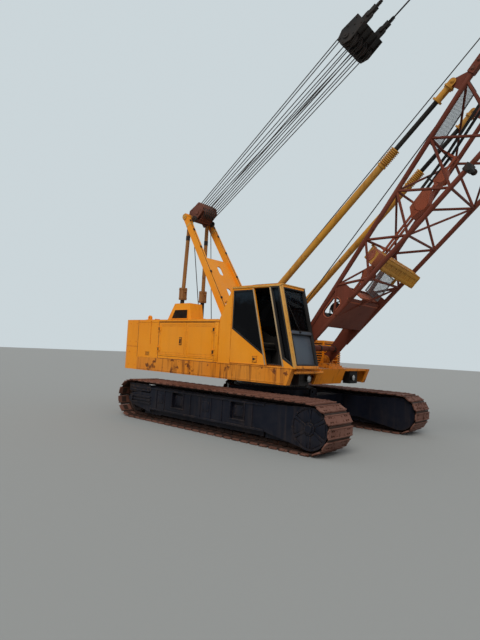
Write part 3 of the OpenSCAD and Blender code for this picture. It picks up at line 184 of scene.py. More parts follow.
def weathering_group():
    """Paint that fades, chips, rusts, streaks and gathers dust."""
    group = bpy.data.node_groups.new("weathered_paint", "ShaderNodeTree")
    for name in ("Paint", "Faded", "Rust", "Dust"):
        group_value(group, name, "NodeSocketColor", (0.5, 0.5, 0.5, 1))
    for name, value in (("Spots", 0.3), ("Streaks", 0.3), ("Edge wear", 0.5), ("Dusting", 0.4),
                        ("Low dirt", 0.0), ("Gloss", 0.45)):
        group_value(group, name, "NodeSocketFloat", value)
    group_value(group, "Spot scale", "NodeSocketFloat", 4.0, 0.1, 60.0)
    group.interface.new_socket(name="Color", in_out="OUTPUT", socket_type="NodeSocketColor")
    group.interface.new_socket(name="Roughness", in_out="OUTPUT", socket_type="NodeSocketFloat")
    group.interface.new_socket(name="Height", in_out="OUTPUT", socket_type="NodeSocketFloat")
    given = group.nodes.new("NodeGroupInput").outputs
    put = group.nodes.new("NodeGroupOutput").inputs
    place = group.nodes.new("ShaderNodeTexCoord").outputs["Object"]
    surface = group.nodes.new("ShaderNodeNewGeometry")

    def times(a, b):
        """Product of two values."""
        return math_node(group, "MULTIPLY", a, b)

    # sun-faded patches under everything else
    broad = noise(group, place, 0.8, 4)
    fade = ramp(group, broad, 0.38, 0.66)
    coat = mix_colour(group, fade, given["Paint"], given["Faded"])

    # rust blooms where the paint has chipped, in clusters that a broad noise picks
    spot_place = group.nodes.new("ShaderNodeVectorMath")
    spot_place.operation = "SCALE"
    group.links.new(place, spot_place.inputs[0])
    group.links.new(given["Spot scale"], spot_place.inputs["Scale"])
    fine = noise(group, spot_place.outputs[0], 1.0, 12, 0.68)
    cluster = noise(group, place, 1.3, 3)
    spot_sum = math_node(group, "ADD", times(fine, 0.72), times(cluster, 0.38))
    spot_limit = math_node(group, "SUBTRACT", 0.80, times(given["Spots"], 0.30))
    spots = ramp(group, math_node(group, "SUBTRACT", spot_sum, spot_limit), 0.0, 0.035)

    # streaks run down from the seams
    run_fine = noise(group, stretched(group, place, (13, 13, 0.8)), 1.0, 7, 0.6)
    run_broad = noise(group, stretched(group, place, (3.1, 3.1, 0.5)), 1.0, 3)
    run = ramp(group, times(run_fine, math_node(group, "ADD", run_broad, 0.5)), 0.50, 0.74)
    steep = math_node(group, "ABSOLUTE", normal_z(group, surface))
    upright = math_node(group, "SUBTRACT", 1.0, steep)
    streaks = times(times(run, given["Streaks"]), upright)

    # paint worn through along sharp edges
    rounded = group.nodes.new("ShaderNodeBevel")
    rounded.samples = 4
    rounded.inputs["Radius"].default_value = 0.014
    turn = group.nodes.new("ShaderNodeVectorMath")
    turn.operation = "DOT_PRODUCT"
    group.links.new(rounded.outputs[0], turn.inputs[0])
    group.links.new(surface.outputs["Normal"], turn.inputs[1])
    bend = ramp(group, turn.outputs["Value"], 0.985, 0.86)
    edge_noise = ramp(group, noise(group, place, 9.0, 8, 0.7), 0.44, 0.60)
    edges = times(times(bend, edge_noise), given["Edge wear"])

    bare = math_node(group, "MAXIMUM", math_node(group, "MAXIMUM", spots, edges), streaks)
    rust_light = mix_colour(group, 1.0, given["Rust"], (1.9, 1.5, 1.15, 1), "MULTIPLY")
    rust = mix_colour(group, ramp(group, noise(group, place, 22.0, 6), 0.35, 0.7), given["Rust"], rust_light)
    coloured = mix_colour(group, bare, coat, rust)

    # dust on flat tops and mud towards the ground
    up = ramp(group, normal_z(group, surface), 0.35, 0.95)
    dust_noise = ramp(group, noise(group, place, 2.6, 8, 0.62), 0.30, 0.68)
    on_top = times(times(up, dust_noise), given["Dusting"])
    height = group.nodes.new("ShaderNodeSeparateXYZ")
    group.links.new(place, height.inputs[0])
    low = times(ramp(group, height.outputs["Z"], 0.95, 0.05), given["Low dirt"])
    low = times(low, ramp(group, noise(group, place, 3.7, 9, 0.65), 0.32, 0.62))
    film = times(ramp(group, noise(group, place, 1.7, 6), 0.3, 0.8), 0.07)
    dirt = math_node(group, "MAXIMUM", math_node(group, "MAXIMUM", on_top, low), film)
    dirty = mix_colour(group, dirt, coloured, given["Dust"])
    tone = ramp(group, noise(group, place, 45.0, 3), 0.2, 0.8, 0.93, 1.06)
    shade = group.nodes.new("ShaderNodeCombineXYZ")
    for socket in shade.inputs:
        group.links.new(tone, socket)
    group.links.new(mix_colour(group, 1.0, dirty, shade.outputs[0], "MULTIPLY"), put["Color"])

    matt = math_node(group, "MAXIMUM", bare, dirt)
    rough = math_node(group, "ADD", given["Gloss"], times(matt, 0.42))
    group.links.new(math_node(group, "MINIMUM", rough, 0.95), put["Roughness"])
    pits = times(bare, ramp(group, noise(group, place, 60.0, 5), 0.3, 0.7, -0.9, -0.3))
    ripple = times(noise(group, place, 1.9, 2), 1.6)
    group.links.new(math_node(group, "ADD", pits, ripple), put["Height"])
    return group


def normal_z(tree, surface):
    """Upward share of the surface's direction."""
    node = tree.nodes.new("ShaderNodeSeparateXYZ")
    tree.links.new(surface.outputs["Normal"], node.inputs[0])
    return node.outputs["Z"]


def raised(tree, height, distance, strength=1.0):
    """Gives a material's surface the relief of a height."""
    relief = tree.nodes.new("ShaderNodeBump")
    relief.inputs["Strength"].default_value = strength
    relief.inputs["Distance"].default_value = distance
    tree.links.new(height, relief.inputs["Height"])
    tree.links.new(relief.outputs["Normal"], tree.nodes["Principled BSDF"].inputs["Normal"])


WEATHERING = weathering_group()
RUST_BROWN = (0.115, 0.037, 0.017, 1)
DRY_DUST = (0.33, 0.27, 0.20, 1)


def weathered(name, paint, faded, rust=RUST_BROWN, dust=DRY_DUST, metallic=0.0, bump=0.003, **amounts):
    """A painted or bare metal that the weathering group wears."""
    material = bpy.data.materials.new(name)
    material.use_nodes = True
    tree = material.node_tree
    shader = tree.nodes["Principled BSDF"]
    shader.inputs["Metallic"].default_value = metallic
    shader.inputs["Specular IOR Level"].default_value = 0.13
    worn = tree.nodes.new("ShaderNodeGroup")
    worn.node_tree = WEATHERING
    for socket, colour in (("Paint", paint), ("Faded", faded), ("Rust", rust), ("Dust", dust)):
        worn.inputs[socket].default_value = colour
    for socket, amount in amounts.items():
        worn.inputs[socket.replace("_", " ").capitalize()].default_value = amount
    tree.links.new(worn.outputs["Color"], shader.inputs["Base Color"])
    tree.links.new(worn.outputs["Roughness"], shader.inputs["Roughness"])
    raised(tree, worn.outputs["Height"], bump, 0.6)
    return material


def dress(names, material):
    """Gives CAD nodes their finish."""
    for name in names:
        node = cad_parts[name]
        node.data.materials.clear()
        node.data.materials.append(material)


yellow = weathered("orange_yellow_enamel", (0.83, 0.272, 0.006, 1), (0.86, 0.312, 0.015, 1),
                   spots=0.13, streaks=0.07, edge_wear=0.75, dusting=0.45, gloss=0.36, spot_scale=3.4)
dress(("counterweight", "house_right", "house_left", "gantry_front", "cab", "fuel_tank", "cab_door",
       "door_right_rear", "door_right_front", "door_left_rear", "door_left_front"), yellow)
yellow_low = weathered("rusted_skirt_enamel", (0.68, 0.205, 0.008, 1), (0.72, 0.26, 0.024, 1),
                       rust=(0.115, 0.038, 0.010, 1), spots=0.60, streaks=0.95, edge_wear=1.0,
                       dusting=0.75, gloss=0.42, spot_scale=3.6)
dress(("deck",), yellow_low)
yellow_hood = weathered("heat_rusted_enamel", (0.84, 0.300, 0.010, 1), (0.86, 0.33, 0.016, 1),
                        rust=(0.40, 0.10, 0.012, 1), spots=0.36, streaks=0.35, edge_wear=0.9,
                        dusting=0.4, gloss=0.45, spot_scale=2.4)
dress(("exhaust_hood",), yellow_hood)

# Paint of the lower machine
# Dark blue enamel on the car body, the track frames and their wheels. Dried mud and dust cover it
# from below, and the edges of its flanges are rubbed to pale steel.
navy = weathered("navy_enamel", (0.0025, 0.0042, 0.0100, 1), (0.0055, 0.0082, 0.0170, 1),
                 rust=(0.045, 0.034, 0.030, 1), dust=(0.085, 0.068, 0.056, 1), spots=0.24, streaks=0.24,
                 edge_wear=1.0, dusting=0.60, low_dirt=0.16, gloss=0.42, spot_scale=5.0)
dress(("car_body", "track_frame_right", "track_frame_left"), navy)
wheel_steel = weathered("muddy_wheel_steel", (0.006, 0.007, 0.010, 1), (0.012, 0.012, 0.016, 1),
                        rust=(0.04, 0.02, 0.014, 1), dust=(0.07, 0.05, 0.04, 1), spots=0.4, streaks=0.2,
                        edge_wear=1.0, dusting=0.6, low_dirt=0.5, gloss=0.5, spot_scale=7.0)
dress(("track_wheels_right", "track_wheels_left"), wheel_steel)
ring_steel = weathered("greased_ring_steel", (0.10, 0.095, 0.085, 1), (0.05, 0.045, 0.04, 1),
                       metallic=0.7, spots=0.2, streaks=0.2, edge_wear=0.3, dusting=0.3, gloss=0.35)
dress(("swing_ring",), ring_steel)

# Red-brown paint of the boom
# Thin oxide-red paint on the lattice, the gantry's head and the guides, faded, blotched with darker
# rust and bleached by the sun along the upper sides of the tubes.
oxide_red = weathered("oxide_red_paint", (0.120, 0.027, 0.015, 1), (0.180, 0.046, 0.026, 1),
                      rust=(0.055, 0.019, 0.010, 1), dust=(0.24, 0.15, 0.11, 1), spots=0.50, streaks=0.4,
                      edge_wear=0.7, dusting=0.28, gloss=0.5, spot_scale=5.0)
dress(("boom_butt", "boom_middle", "boom_tip"), oxide_red)
dark_red = weathered("dark_red_paint", (0.10, 0.032, 0.02, 1), (0.17, 0.06, 0.04, 1),
                     rust=(0.07, 0.025, 0.014, 1), spots=0.5, streaks=0.6, edge_wear=0.8, dusting=0.4,
                     gloss=0.48, spot_scale=6.0)
dress(("gantry_head",), dark_red)
bright_red = weathered("red_lead_paint", (0.30, 0.062, 0.028, 1), (0.36, 0.10, 0.05, 1),
                       rust=(0.12, 0.04, 0.02, 1), spots=0.42, streaks=0.5, edge_wear=0.8, dusting=0.4,
                       gloss=0.5, spot_scale=5.0)
dress(("tagline_guide",), bright_red)

# Ochre paint of the struts
# Older, duller yellow-brown paint on the gantry's rear legs, the boom stops and the drum box of the
# tagline, rusted in blotches through to the steel.
ochre = weathered("ochre_enamel", (0.56, 0.25, 0.022, 1), (0.46, 0.225, 0.045, 1),
                  rust=(0.10, 0.032, 0.014, 1), spots=0.56, streaks=0.6, edge_wear=0.9, dusting=0.4,
                  gloss=0.45, spot_scale=6.0)
dress(("stop_tube_right", "stop_tube_left", "stop_rod_right", "stop_rod_left", "tagline_winder"), ochre)
tan_paint = weathered("tan_enamel", (0.40, 0.18, 0.040, 1), (0.27, 0.13, 0.050, 1),
                      rust=(0.085, 0.032, 0.016, 1), spots=0.52, streaks=0.7, edge_wear=0.8, dusting=0.4,
                      gloss=0.5, spot_scale=5.0)
dress(("gantry_rear",), tan_paint)

# Black and bare metal
# Greasy black paint on the bail, the pendants and the head sheaves, oily iron on the engine, worn
# steel on the winches and moulded black trim in the cab.
black = weathered("greasy_black_paint", (0.012, 0.012, 0.013, 1), (0.028, 0.027, 0.027, 1),
                  rust=(0.06, 0.028, 0.018, 1), spots=0.3, streaks=0.3, edge_wear=0.7, dusting=0.35,
                  gloss=0.38, spot_scale=8.0)
dress(("bail", "pendants", "boom_sheaves"), black)
iron = weathered("oily_cast_iron", (0.05, 0.05, 0.05, 1), (0.08, 0.075, 0.07, 1), metallic=0.4,
                 spots=0.3, streaks=0.2, edge_wear=0.4, dusting=0.6, gloss=0.4)
dress(("engine",), iron)
winch_steel = weathered("worn_winch_steel", (0.22, 0.19, 0.15, 1), (0.14, 0.12, 0.10, 1), metallic=0.5,
                        spots=0.35, streaks=0.2, edge_wear=0.8, dusting=0.4, gloss=0.42, spot_scale=9.0)
dress(("winches",), winch_steel)
trim = weathered("black_cab_trim", (0.010, 0.010, 0.011, 1), (0.018, 0.018, 0.019, 1),
                 rust=(0.05, 0.045, 0.04, 1), spots=0.1, streaks=0.1, edge_wear=0.5, dusting=0.5,
                 gloss=0.55, bump=0.001)
dress(("cab_fittings", "lamps"), trim)
hook_paint = weathered("worn_hook_enamel", (0.66, 0.36, 0.03, 1), (0.62, 0.38, 0.08, 1),
                       rust=(0.11, 0.05, 0.03, 1), spots=0.5, streaks=0.4, edge_wear=1.0, dusting=0.3,
                       gloss=0.4, spot_scale=9.0)
dress(("hook_block",), hook_paint)

# Cab glass
# Tinted safety glass, dusty in patches, set in from the outside. The side panes are nearly black, and a
# painted sky reflection turns their upper part pale blue; the windshield is clearer.
glass = bpy.data.materials.new("tinted_cab_glass")
glass.use_nodes = True
glass_tree = glass.node_tree
glass_shader = glass_tree.nodes["Principled BSDF"]
glass_place = glass_tree.nodes.new("ShaderNodeTexCoord").outputs["Object"]
glass_film = ramp(glass_tree, noise(glass_tree, glass_place, 2.4, 7, 0.6), 0.50, 0.85, 0.0, 0.05)
glass_height = glass_tree.nodes.new("ShaderNodeSeparateXYZ")
glass_tree.links.new(glass_place, glass_height.inputs[0])
# painted sky reflection: the panes turn from near black to pale blue towards their top, along a noisy line
painted_reflection_height = math_node(glass_tree, "ADD", glass_height.outputs["Z"],
                       math_node(glass_tree, "MULTIPLY", noise(glass_tree, glass_place, 5.0, 6, 0.7), 0.55))
glass_tint_and_painted_reflection = mix_colour(glass_tree, ramp(glass_tree, painted_reflection_height, 2.90, 3.08),
                        (0.0012, 0.0016, 0.0024, 1), (0.010, 0.018, 0.026, 1))
glass_tint_and_painted_reflection = mix_colour(glass_tree, glass_film, glass_tint_and_painted_reflection, (0.10, 0.11, 0.11, 1))
glass_tree.links.new(glass_tint_and_painted_reflection, glass_shader.inputs["Base Color"])
glass_tree.links.new(math_node(glass_tree, "ADD", glass_film, 0.05), glass_shader.inputs["Roughness"])
glass_shader.inputs["IOR"].default_value = 1.5
glass_shader.inputs["Specular IOR Level"].default_value = 0.08
glass_facing = glass_tree.nodes.new("ShaderNodeSeparateXYZ")
glass_tree.links.new(glass_tree.nodes.new("ShaderNodeNewGeometry").outputs["Normal"], glass_facing.inputs[0])
glass_front = math_node(glass_tree, "ABSOLUTE", glass_facing.outputs["X"])
glass_tree.links.new(ramp(glass_tree, glass_front, 0.3, 0.8, 0.96, 0.60), glass_shader.inputs["Alpha"])
dress(("cab_glass", "cab_door_glass"), glass)

# Wire ropes
# Greased steel wire rope of 22 mm in six strands. The lay of the strands shows as slanted ribs that
# follow each rope's own length, read from its UV map, and painted shade darkens the grooves between them.


def rope_finish(name, turns):
    """Wire rope whose strands wind round a given number of times along the piece."""
    material = bpy.data.materials.new(name)
    material.use_nodes = True
    tree = material.node_tree
    shader = tree.nodes["Principled BSDF"]
    shader.inputs["Metallic"].default_value = 0.55
    along = tree.nodes.new("ShaderNodeSeparateXYZ")
    tree.links.new(tree.nodes.new("ShaderNodeUVMap").outputs[0], along.inputs[0])
    phase = math_node(tree, "ADD", math_node(tree, "MULTIPLY", along.outputs["X"], 6.0),
                      math_node(tree, "MULTIPLY", along.outputs["Y"], turns))
    wave = math_node(tree, "SINE", math_node(tree, "MULTIPLY", phase, math.pi))
    rib = math_node(tree, "ABSOLUTE", wave)
    # painted shade: the colour darkens in the grooves between the strands
    shade = mix_colour(tree, rib, (0.028, 0.026, 0.025, 1), (0.075, 0.072, 0.069, 1))
    place = tree.nodes.new("ShaderNodeTexCoord").outputs["Object"]
    grease = ramp(tree, noise(tree, place, 5.0, 6), 0.35, 0.65)
    tree.links.new(mix_colour(tree, grease, shade, (0.050, 0.040, 0.033, 1)), shader.inputs["Base Color"])
    tree.links.new(ramp(tree, grease, 0.0, 1.0, 0.35, 0.62), shader.inputs["Roughness"])
    raised(tree, rib, 0.002)
    return material


# Shaping tools
# Short functions that make, move, cut and finish the pieces of all the sections below. Lengths are
# metres in the frame's own directions.


def pick(pieces):
    """Selects only these pieces and makes the first one active."""
    bpy.ops.object.select_all(action="DESELECT")
    for piece in pieces:
        piece.select_set(True)
    bpy.context.view_layer.objects.active = pieces[0]


def settle(piece, body, finish, smooth=35):
    """Applies a piece's place, smooths its round faces, gives its finish and puts it on its body."""
    pick([piece])
    bpy.ops.object.transform_apply(location=True, rotation=True, scale=True)
    bpy.ops.object.shade_smooth_by_angle(angle=math.radians(smooth))
    piece.data.materials.clear()
    piece.data.materials.append(finish)
    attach(piece, body)
    return piece


def joined(pieces, name):
    """Joins pieces into one and names it."""
    pick(pieces)
    if len(pieces) > 1:
        bpy.ops.object.join()
    piece = bpy.context.object
    piece.name = name
    piece.data.name = name
    return piece


def finished(pieces, name, body, finish, smooth=35):
    """Joins pieces under a name and settles the result."""
    return settle(joined(pieces, name), body, finish, smooth)


def moved(pieces, place):
    """Moves the meshes of pieces by a matrix."""
    for piece in pieces:
        piece.data.transform(place)
    return pieces


def turned_at(place, angle, axis="Y"):
    """Matrix that turns by an angle about an axis through the origin and carries that to a place."""
    return Matrix.Translation(place) @ Matrix.Rotation(angle, 4, axis)


def axes(x, y, z):
    """Matrix whose columns are three directions."""
    return Matrix((x, y, z)).transposed().to_4x4()


def circle(count, radius, start=0.0, step=None):
    """Pairs on a circle round zero, from an angle on, all the way round if no step is given."""
    step = step or 2 * math.pi / count
    return [(radius * math.cos(start + step * k), radius * math.sin(start + step * k)) for k in range(count)]


def outward(side, a, b):
    """Two offsets on one side of zero, the lower one first."""
    return sorted((side * a, side * b))


def bevelled(piece, width, segments=2):
    """Rounds all edges of the piece that was just made."""
    bpy.ops.object.mode_set(mode="EDIT")
    bpy.ops.mesh.select_all(action="SELECT")
    bpy.ops.mesh.bevel(offset=width, segments=segments, affect="EDGES")
    bpy.ops.object.mode_set(mode="OBJECT")
    return piece


def rod(a, b, radius, sides=12):
    """A cylinder from one point to another."""
    a, b = Vector(a), Vector(b)
    bpy.ops.object.select_all(action="DESELECT")
    bpy.ops.mesh.primitive_cylinder_add(vertices=sides, radius=radius, depth=(b - a).length)
    piece = bpy.context.object
    turn = (b - a).to_track_quat("Z", "Y").to_matrix().to_4x4()
    piece.matrix_world = Matrix.Translation((a + b) / 2) @ turn
    bpy.ops.object.transform_apply(location=True, rotation=True, scale=True)
    return piece


def cross_rod(centre, y0, y1, radius, sides=12):
    """A cylinder across Y between two offsets from a centre."""
    return rod(Vector(centre) + Vector((0, y0, 0)), Vector(centre) + Vector((0, y1, 0)), radius, sides)


def tube(points, radius, sides=8, closed=False):
    """Cylinders from each point to the next."""
    return [rod(a, b, radius, sides) for a, b in zip(points, points[1:] + points[:1] * closed)]


def box(low, high, bevel=0.0, segments=2):
    """A block between two corners with its edges rounded."""
    low, high = Vector(low), Vector(high)
    bpy.ops.object.select_all(action="DESELECT")
    bpy.ops.mesh.primitive_cube_add(size=1, location=(low + high) / 2)
    piece = bpy.context.object
    piece.scale = high - low
    bpy.ops.object.transform_apply(location=True, rotation=True, scale=True)
    return bevelled(piece, bevel, segments) if bevel else piece


def boxes(corners, bevel=0.0, segments=2):
    """Blocks, each between its two corners."""
    return [box(low, high, bevel, segments) for low, high in corners]


def plate(outline, y, thickness, place=None, bevel=0.004):
    """A plate across Y whose outline is given as pairs of X and Z, or as places along the boom."""
    bpy.ops.object.select_all(action="DESELECT")
    bpy.ops.mesh.primitive_circle_add(vertices=len(outline), radius=1, fill_type="NGON")
    piece = bpy.context.object
    for vertex, (a, b) in zip(piece.data.vertices, outline):
        vertex.co = (a, 0, b)
    bpy.ops.object.mode_set(mode="EDIT")
    bpy.ops.mesh.select_all(action="SELECT")
    bpy.ops.mesh.extrude_region_move(TRANSFORM_OT_translate={"value": (0, thickness, 0)})
    bpy.ops.mesh.select_all(action="SELECT")
    bpy.ops.mesh.normals_make_consistent(inside=False)
    bpy.ops.object.mode_set(mode="OBJECT")
    if bevel:
        rim = piece.modifiers.new("rim", "BEVEL")
        rim.width = bevel
        rim.segments = 2
        rim.limit_method = "ANGLE"
        bpy.ops.object.modifier_apply(modifier="rim")
    for vertex in piece.data.vertices:
        a, b, c = vertex.co
        vertex.co = place(a, y + b - thickness / 2, c) if place else Vector((a, y + b - thickness / 2, c))
    return piece


def grown(points, distance):
    """An outline of X and Z pairs moved outwards, or inwards where the distance is negative."""
    middle = sum((Vector(p) for p in points), Vector((0, 0))) / len(points)
    lines = []
    for a, b in zip(points, points[1:] + points[:1]):
        a, b = Vector(a), Vector(b)
        along = (b - a).normalized()
        normal = Vector((along.y, -along.x))
        if (a - middle).dot(normal) < 0:
            normal = -normal
        lines.append((a + normal * distance, along))
    corners = []
    for (a, u), (b, v) in zip(lines[-1:] + lines[:-1], lines):
        share = (b - a).cross(v) / u.cross(v)
        corners.append(tuple(a + u * share))
    return corners


def spun(centre, steps, angle, axis, join):
    """Turns the open outline that was just made about an axis, and closes its seams."""
    bpy.ops.object.mode_set(mode="EDIT")
    bpy.ops.mesh.select_all(action="SELECT")
    bpy.ops.mesh.spin(steps=steps, angle=angle, center=centre, axis=axis)
    bpy.ops.mesh.select_all(action="SELECT")
    bpy.ops.mesh.remove_doubles(threshold=join)
    bpy.ops.mesh.normals_make_consistent(inside=False)
    bpy.ops.object.mode_set(mode="OBJECT")


def ring(centre, radius, profile, steps=32):
    """A ring across Y: an outline of radius and Y offsets turned about an axis through centre."""
    bpy.ops.object.select_all(action="DESELECT")
    bpy.ops.mesh.primitive_circle_add(vertices=len(profile), radius=1, fill_type="NOTHING")
    piece = bpy.context.object
    for vertex, (r, y) in zip(piece.data.vertices, profile):
        vertex.co = Vector(centre) + Vector((radius + r, y, 0))
    spun(centre, steps, 2 * math.pi, (0, 1, 0), 0.0001)
    return piece


def rope_turn(centre, radius, start, stop, y, steps=18):
    """Rope bent round a sheave across Y, from one angle to another."""
    bpy.ops.object.select_all(action="DESELECT")
    first = Vector((radius * math.cos(start), 0, radius * math.sin(start)))
    bpy.ops.mesh.primitive_circle_add(vertices=8, radius=rope_r, fill_type="NOTHING")
    piece = bpy.context.object
    middle = Vector(centre) + Vector((0, y, 0))
    turn = axes(first.normalized(), (0, 1, 0), first.normalized().cross((0, 1, 0)))
    piece.matrix_world = Matrix.Translation(middle + first) @ turn
    bpy.ops.object.transform_apply(location=True, rotation=True, scale=True)
    spun(middle, steps, stop - start, (0, -1, 0), 0.00005)
    return piece


def cut(piece, tools):
    """Cuts tools out of a piece and removes them."""
    tool = joined(tools, "tool")
    hole = piece.modifiers.new("hole", "BOOLEAN")
    hole.operation = "DIFFERENCE"
    hole.object = tool
    pick([piece])
    bpy.ops.object.modifier_apply(modifier="hole")
    bpy.data.objects.remove(tool)
    return piece


def copies(model, places, name):
    """Joined copies of a model, each with its own mesh, one at each place; the model is used up."""
    made = []
    for place in places:
        copy = bpy.data.objects.new(name, model.data.copy())
        copy.data.transform(place)
        scene.collection.objects.link(copy)
        made.append(copy)
    bpy.data.objects.remove(model)
    return joined(made, name)


def bolt_heads(places, way, radius=0.016, height=0.012):
    """Hexagonal bolt heads on a face that looks along way."""
    way = Vector(way)
    return [rod(Vector(p) - way * 0.003, Vector(p) + way * height, radius, 6) for p in places]


def blended_rope(rope):
    """Smooths and finishes a rope that runs between two places, from the upper machine to the boom."""
    pick([rope])
    bpy.ops.object.shade_smooth_by_angle(angle=math.radians(60))
    rope.data.materials.append(rope_long)
    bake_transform(rope)


# Luffing ropes
# Two layers of rope run between the gantry's sheaves and those of the bail, round both of them, and
# two more lead down from guide sheaves to the winch. All are 22 mm thick.
rope_long = rope_finish("wire_rope_long", 90.0)
rope_short = rope_finish("wire_rope_short", 30.0)
rope_r = 0.011
luff_angle = math.radians(34.34)
stay_way = Vector((math.cos(luff_angle), 0, math.sin(luff_angle)))
stay_side = Vector((-math.sin(luff_angle), 0, math.cos(luff_angle)))
gantry_shaft = Vector((-2.800, 0, 5.200))
head_tilt = math.radians(34)
gantry_sheaves = gantry_shaft + 0.270 * Vector((math.cos(head_tilt), 0, math.sin(head_tilt)))
bail_reach = 5.400
bail_sheaves = gantry_sheaves + bail_reach * stay_way
gantry_rows = [0.070 * (i - 2.5) for i in range(6)]
bail_rows = [0.205 * i + 0.080 * j for i in (-1.5, -0.5, 0.5, 1.5) for j in (-0.5, 0.5)]
# bail row for each gantry row, for the upper and for the lower parts of rope
upper_rows = [0, 1, 3, 4, 6, 7]
lower_rows = [1, 2, 3, 4, 5, 6]
gantry_seat = 0.192
bail_seat = 0.182
luffing = []
for side_of_sheave, rows in ((1, upper_rows), (-1, lower_rows)):
    for y, row in zip(gantry_rows, rows):
        foot = gantry_sheaves + stay_side * side_of_sheave * gantry_seat + Vector((0, y, 0))
        top = bail_sheaves + stay_side * side_of_sheave * bail_seat + Vector((0, bail_rows[row], 0))
        luffing.append(rod(foot, top, rope_r, 8))
blended_rope(joined(luffing, "luffing_ropes"))
quarter_turn = math.pi / 2
gantry_turns = [rope_turn(gantry_sheaves, gantry_seat, luff_angle + quarter_turn,
                          luff_angle + 3 * quarter_turn, y) for y in gantry_rows]
finished(gantry_turns, "gantry_rope_turns", "upper", rope_short, 60)
bail_turns = [rope_turn(bail_sheaves, bail_seat, luff_angle - quarter_turn, luff_angle + quarter_turn,
                        bail_rows[row]) for row in upper_rows]
finished(bail_turns, "bail_rope_turns", "boom", rope_short, 60)

# the falls of the hook and the rope that winds on to the boom's winch
dress(("hoist_falls",), rope_short)
winch_lines = []
guide_parts = []
for side in (-1, 1):
    guide = Vector((-2.600, side * 0.345, 5.160))
    winch_lines.append(rod(guide + Vector((-0.064, 0, -0.02)), (-2.240, side * 0.200, 1.860), rope_r, 8))
    guide_parts.append(cross_rod(guide, -0.016, 0.016, 0.078, 32))
    guide_parts.append(cross_rod(guide, -side * 0.10, side * 0.03, 0.026, 16))
finished(winch_lines, "boom_winch_ropes", "upper", rope_short, 60)
finished(guide_parts, "boom_winch_guide_sheaves", "upper", black)

# Hoist ropes and their rollers
# Two ropes of the same make run from the tops of the hoist winches over a roller on the boom's
# upper side and a second one between the head plates, round the head's sheaves and down.
boom_lean = math.radians(50.3)
boom_foot = Vector((1.07, 0, 1.55))


def on_boom(s, y, n):
    """Place at s along the boom, y to its left and n above its middle."""
    return boom_foot + Vector((s * math.cos(boom_lean) - n * math.sin(boom_lean), y,
                               s * math.sin(boom_lean) + n * math.cos(boom_lean)))


def boom_rod(s, n, y0, y1, radius, sides=24):
    """A round bar across the boom."""
    return rod(on_boom(s, y0, n), on_boom(s, y1, n), radius, sides)


roller_place = (12.96, 0.66)
roller_r = 0.060
inner_roller = (17.66, 0.23)
head_s, head_n = 18.30, -0.30
head_centre = on_boom(head_s, 0, head_n)
head_seat = 0.291
# angle round the head's sheaves, in the boom's own plane, at which a hoist rope meets them
meet = math.radians(66.2)
winch_z = 1.710
rope_lift = roller_r + rope_r
# X and Y at the winch, and Y at the boom's head
for name, winch_x, winch_y, head_y in (("hoist_rope_main", 0.22, -0.10, -0.165),
                                       ("hoist_rope_second", -1.35, 0.10, 0.165)):
    over = on_boom(roller_place[0], head_y, roller_place[1] + rope_lift)
    blended_rope(joined([rod((winch_x - 0.02, winch_y, winch_z + 0.246), over, rope_r, 8)], name))
head_lines = []
for y in (-0.165, 0.165):
    over = on_boom(roller_place[0], y, roller_place[1] + rope_lift)
    under = on_boom(inner_roller[0], y, inner_roller[1] + rope_lift)
    seat = on_boom(head_s + head_seat * math.cos(meet), y, head_n + head_seat * math.sin(meet))
    head_lines += tube([over, under, seat], rope_r)
    head_lines.append(rope_turn(head_centre, head_seat, 0.0, meet + boom_lean, y))
for y in (-0.055, 0.055):
    head_lines.append(rope_turn(head_centre, head_seat, 0.0, math.pi, y))
    rope_end = head_centre + Vector((head_seat, y, 0))
    head_lines.append(rod(rope_end, rope_end - Vector((0, 0, 0.16)), rope_r, 8))
finished(head_lines, "boom_head_ropes", "boom", rope_short, 60)

rollers = []
for (s, n), half in ((roller_place, 0.26), (inner_roller, 0.27)):
    rollers.append(bevelled(boom_rod(s, n, -half, half, roller_r, 32), 0.008))
    rollers.append(boom_rod(s, n, -half - 0.03, half + 0.03, 0.022, 16))
    rollers += [boom_rod(s, n, y - 0.008, y + 0.008, roller_r + 0.022, 32) for y in (-half, half)]
finished(rollers, "rope_rollers", "boom", winch_steel)
roller_s, roller_n = roller_place
chord_top = 0.5226 + 0.018
bracket = [(roller_s - 0.10, chord_top), (roller_s - 0.05, roller_n + 0.05),
           (roller_s + 0.05, roller_n + 0.05), (roller_s + 0.10, chord_top)]
finished([plate(bracket, y, 0.014, on_boom) for y in (-0.285, 0.285)],
         "rope_roller_brackets", "boom", oxide_red)
sockets = []
for y in (-0.055, 0.055):
    socket_foot = head_centre + Vector((head_seat, y, 0))
    socket = rod(socket_foot - Vector((0, 0, 0.15)), socket_foot - Vector((0, 0, 0.33)), 0.030)
    sockets.append(bevelled(socket, 0.009))
sockets.append(cross_rod(head_centre + Vector((head_seat, 0, -0.30)), -0.31, 0.31, 0.018))
finished(sockets, "rope_end_sockets", "boom", black)

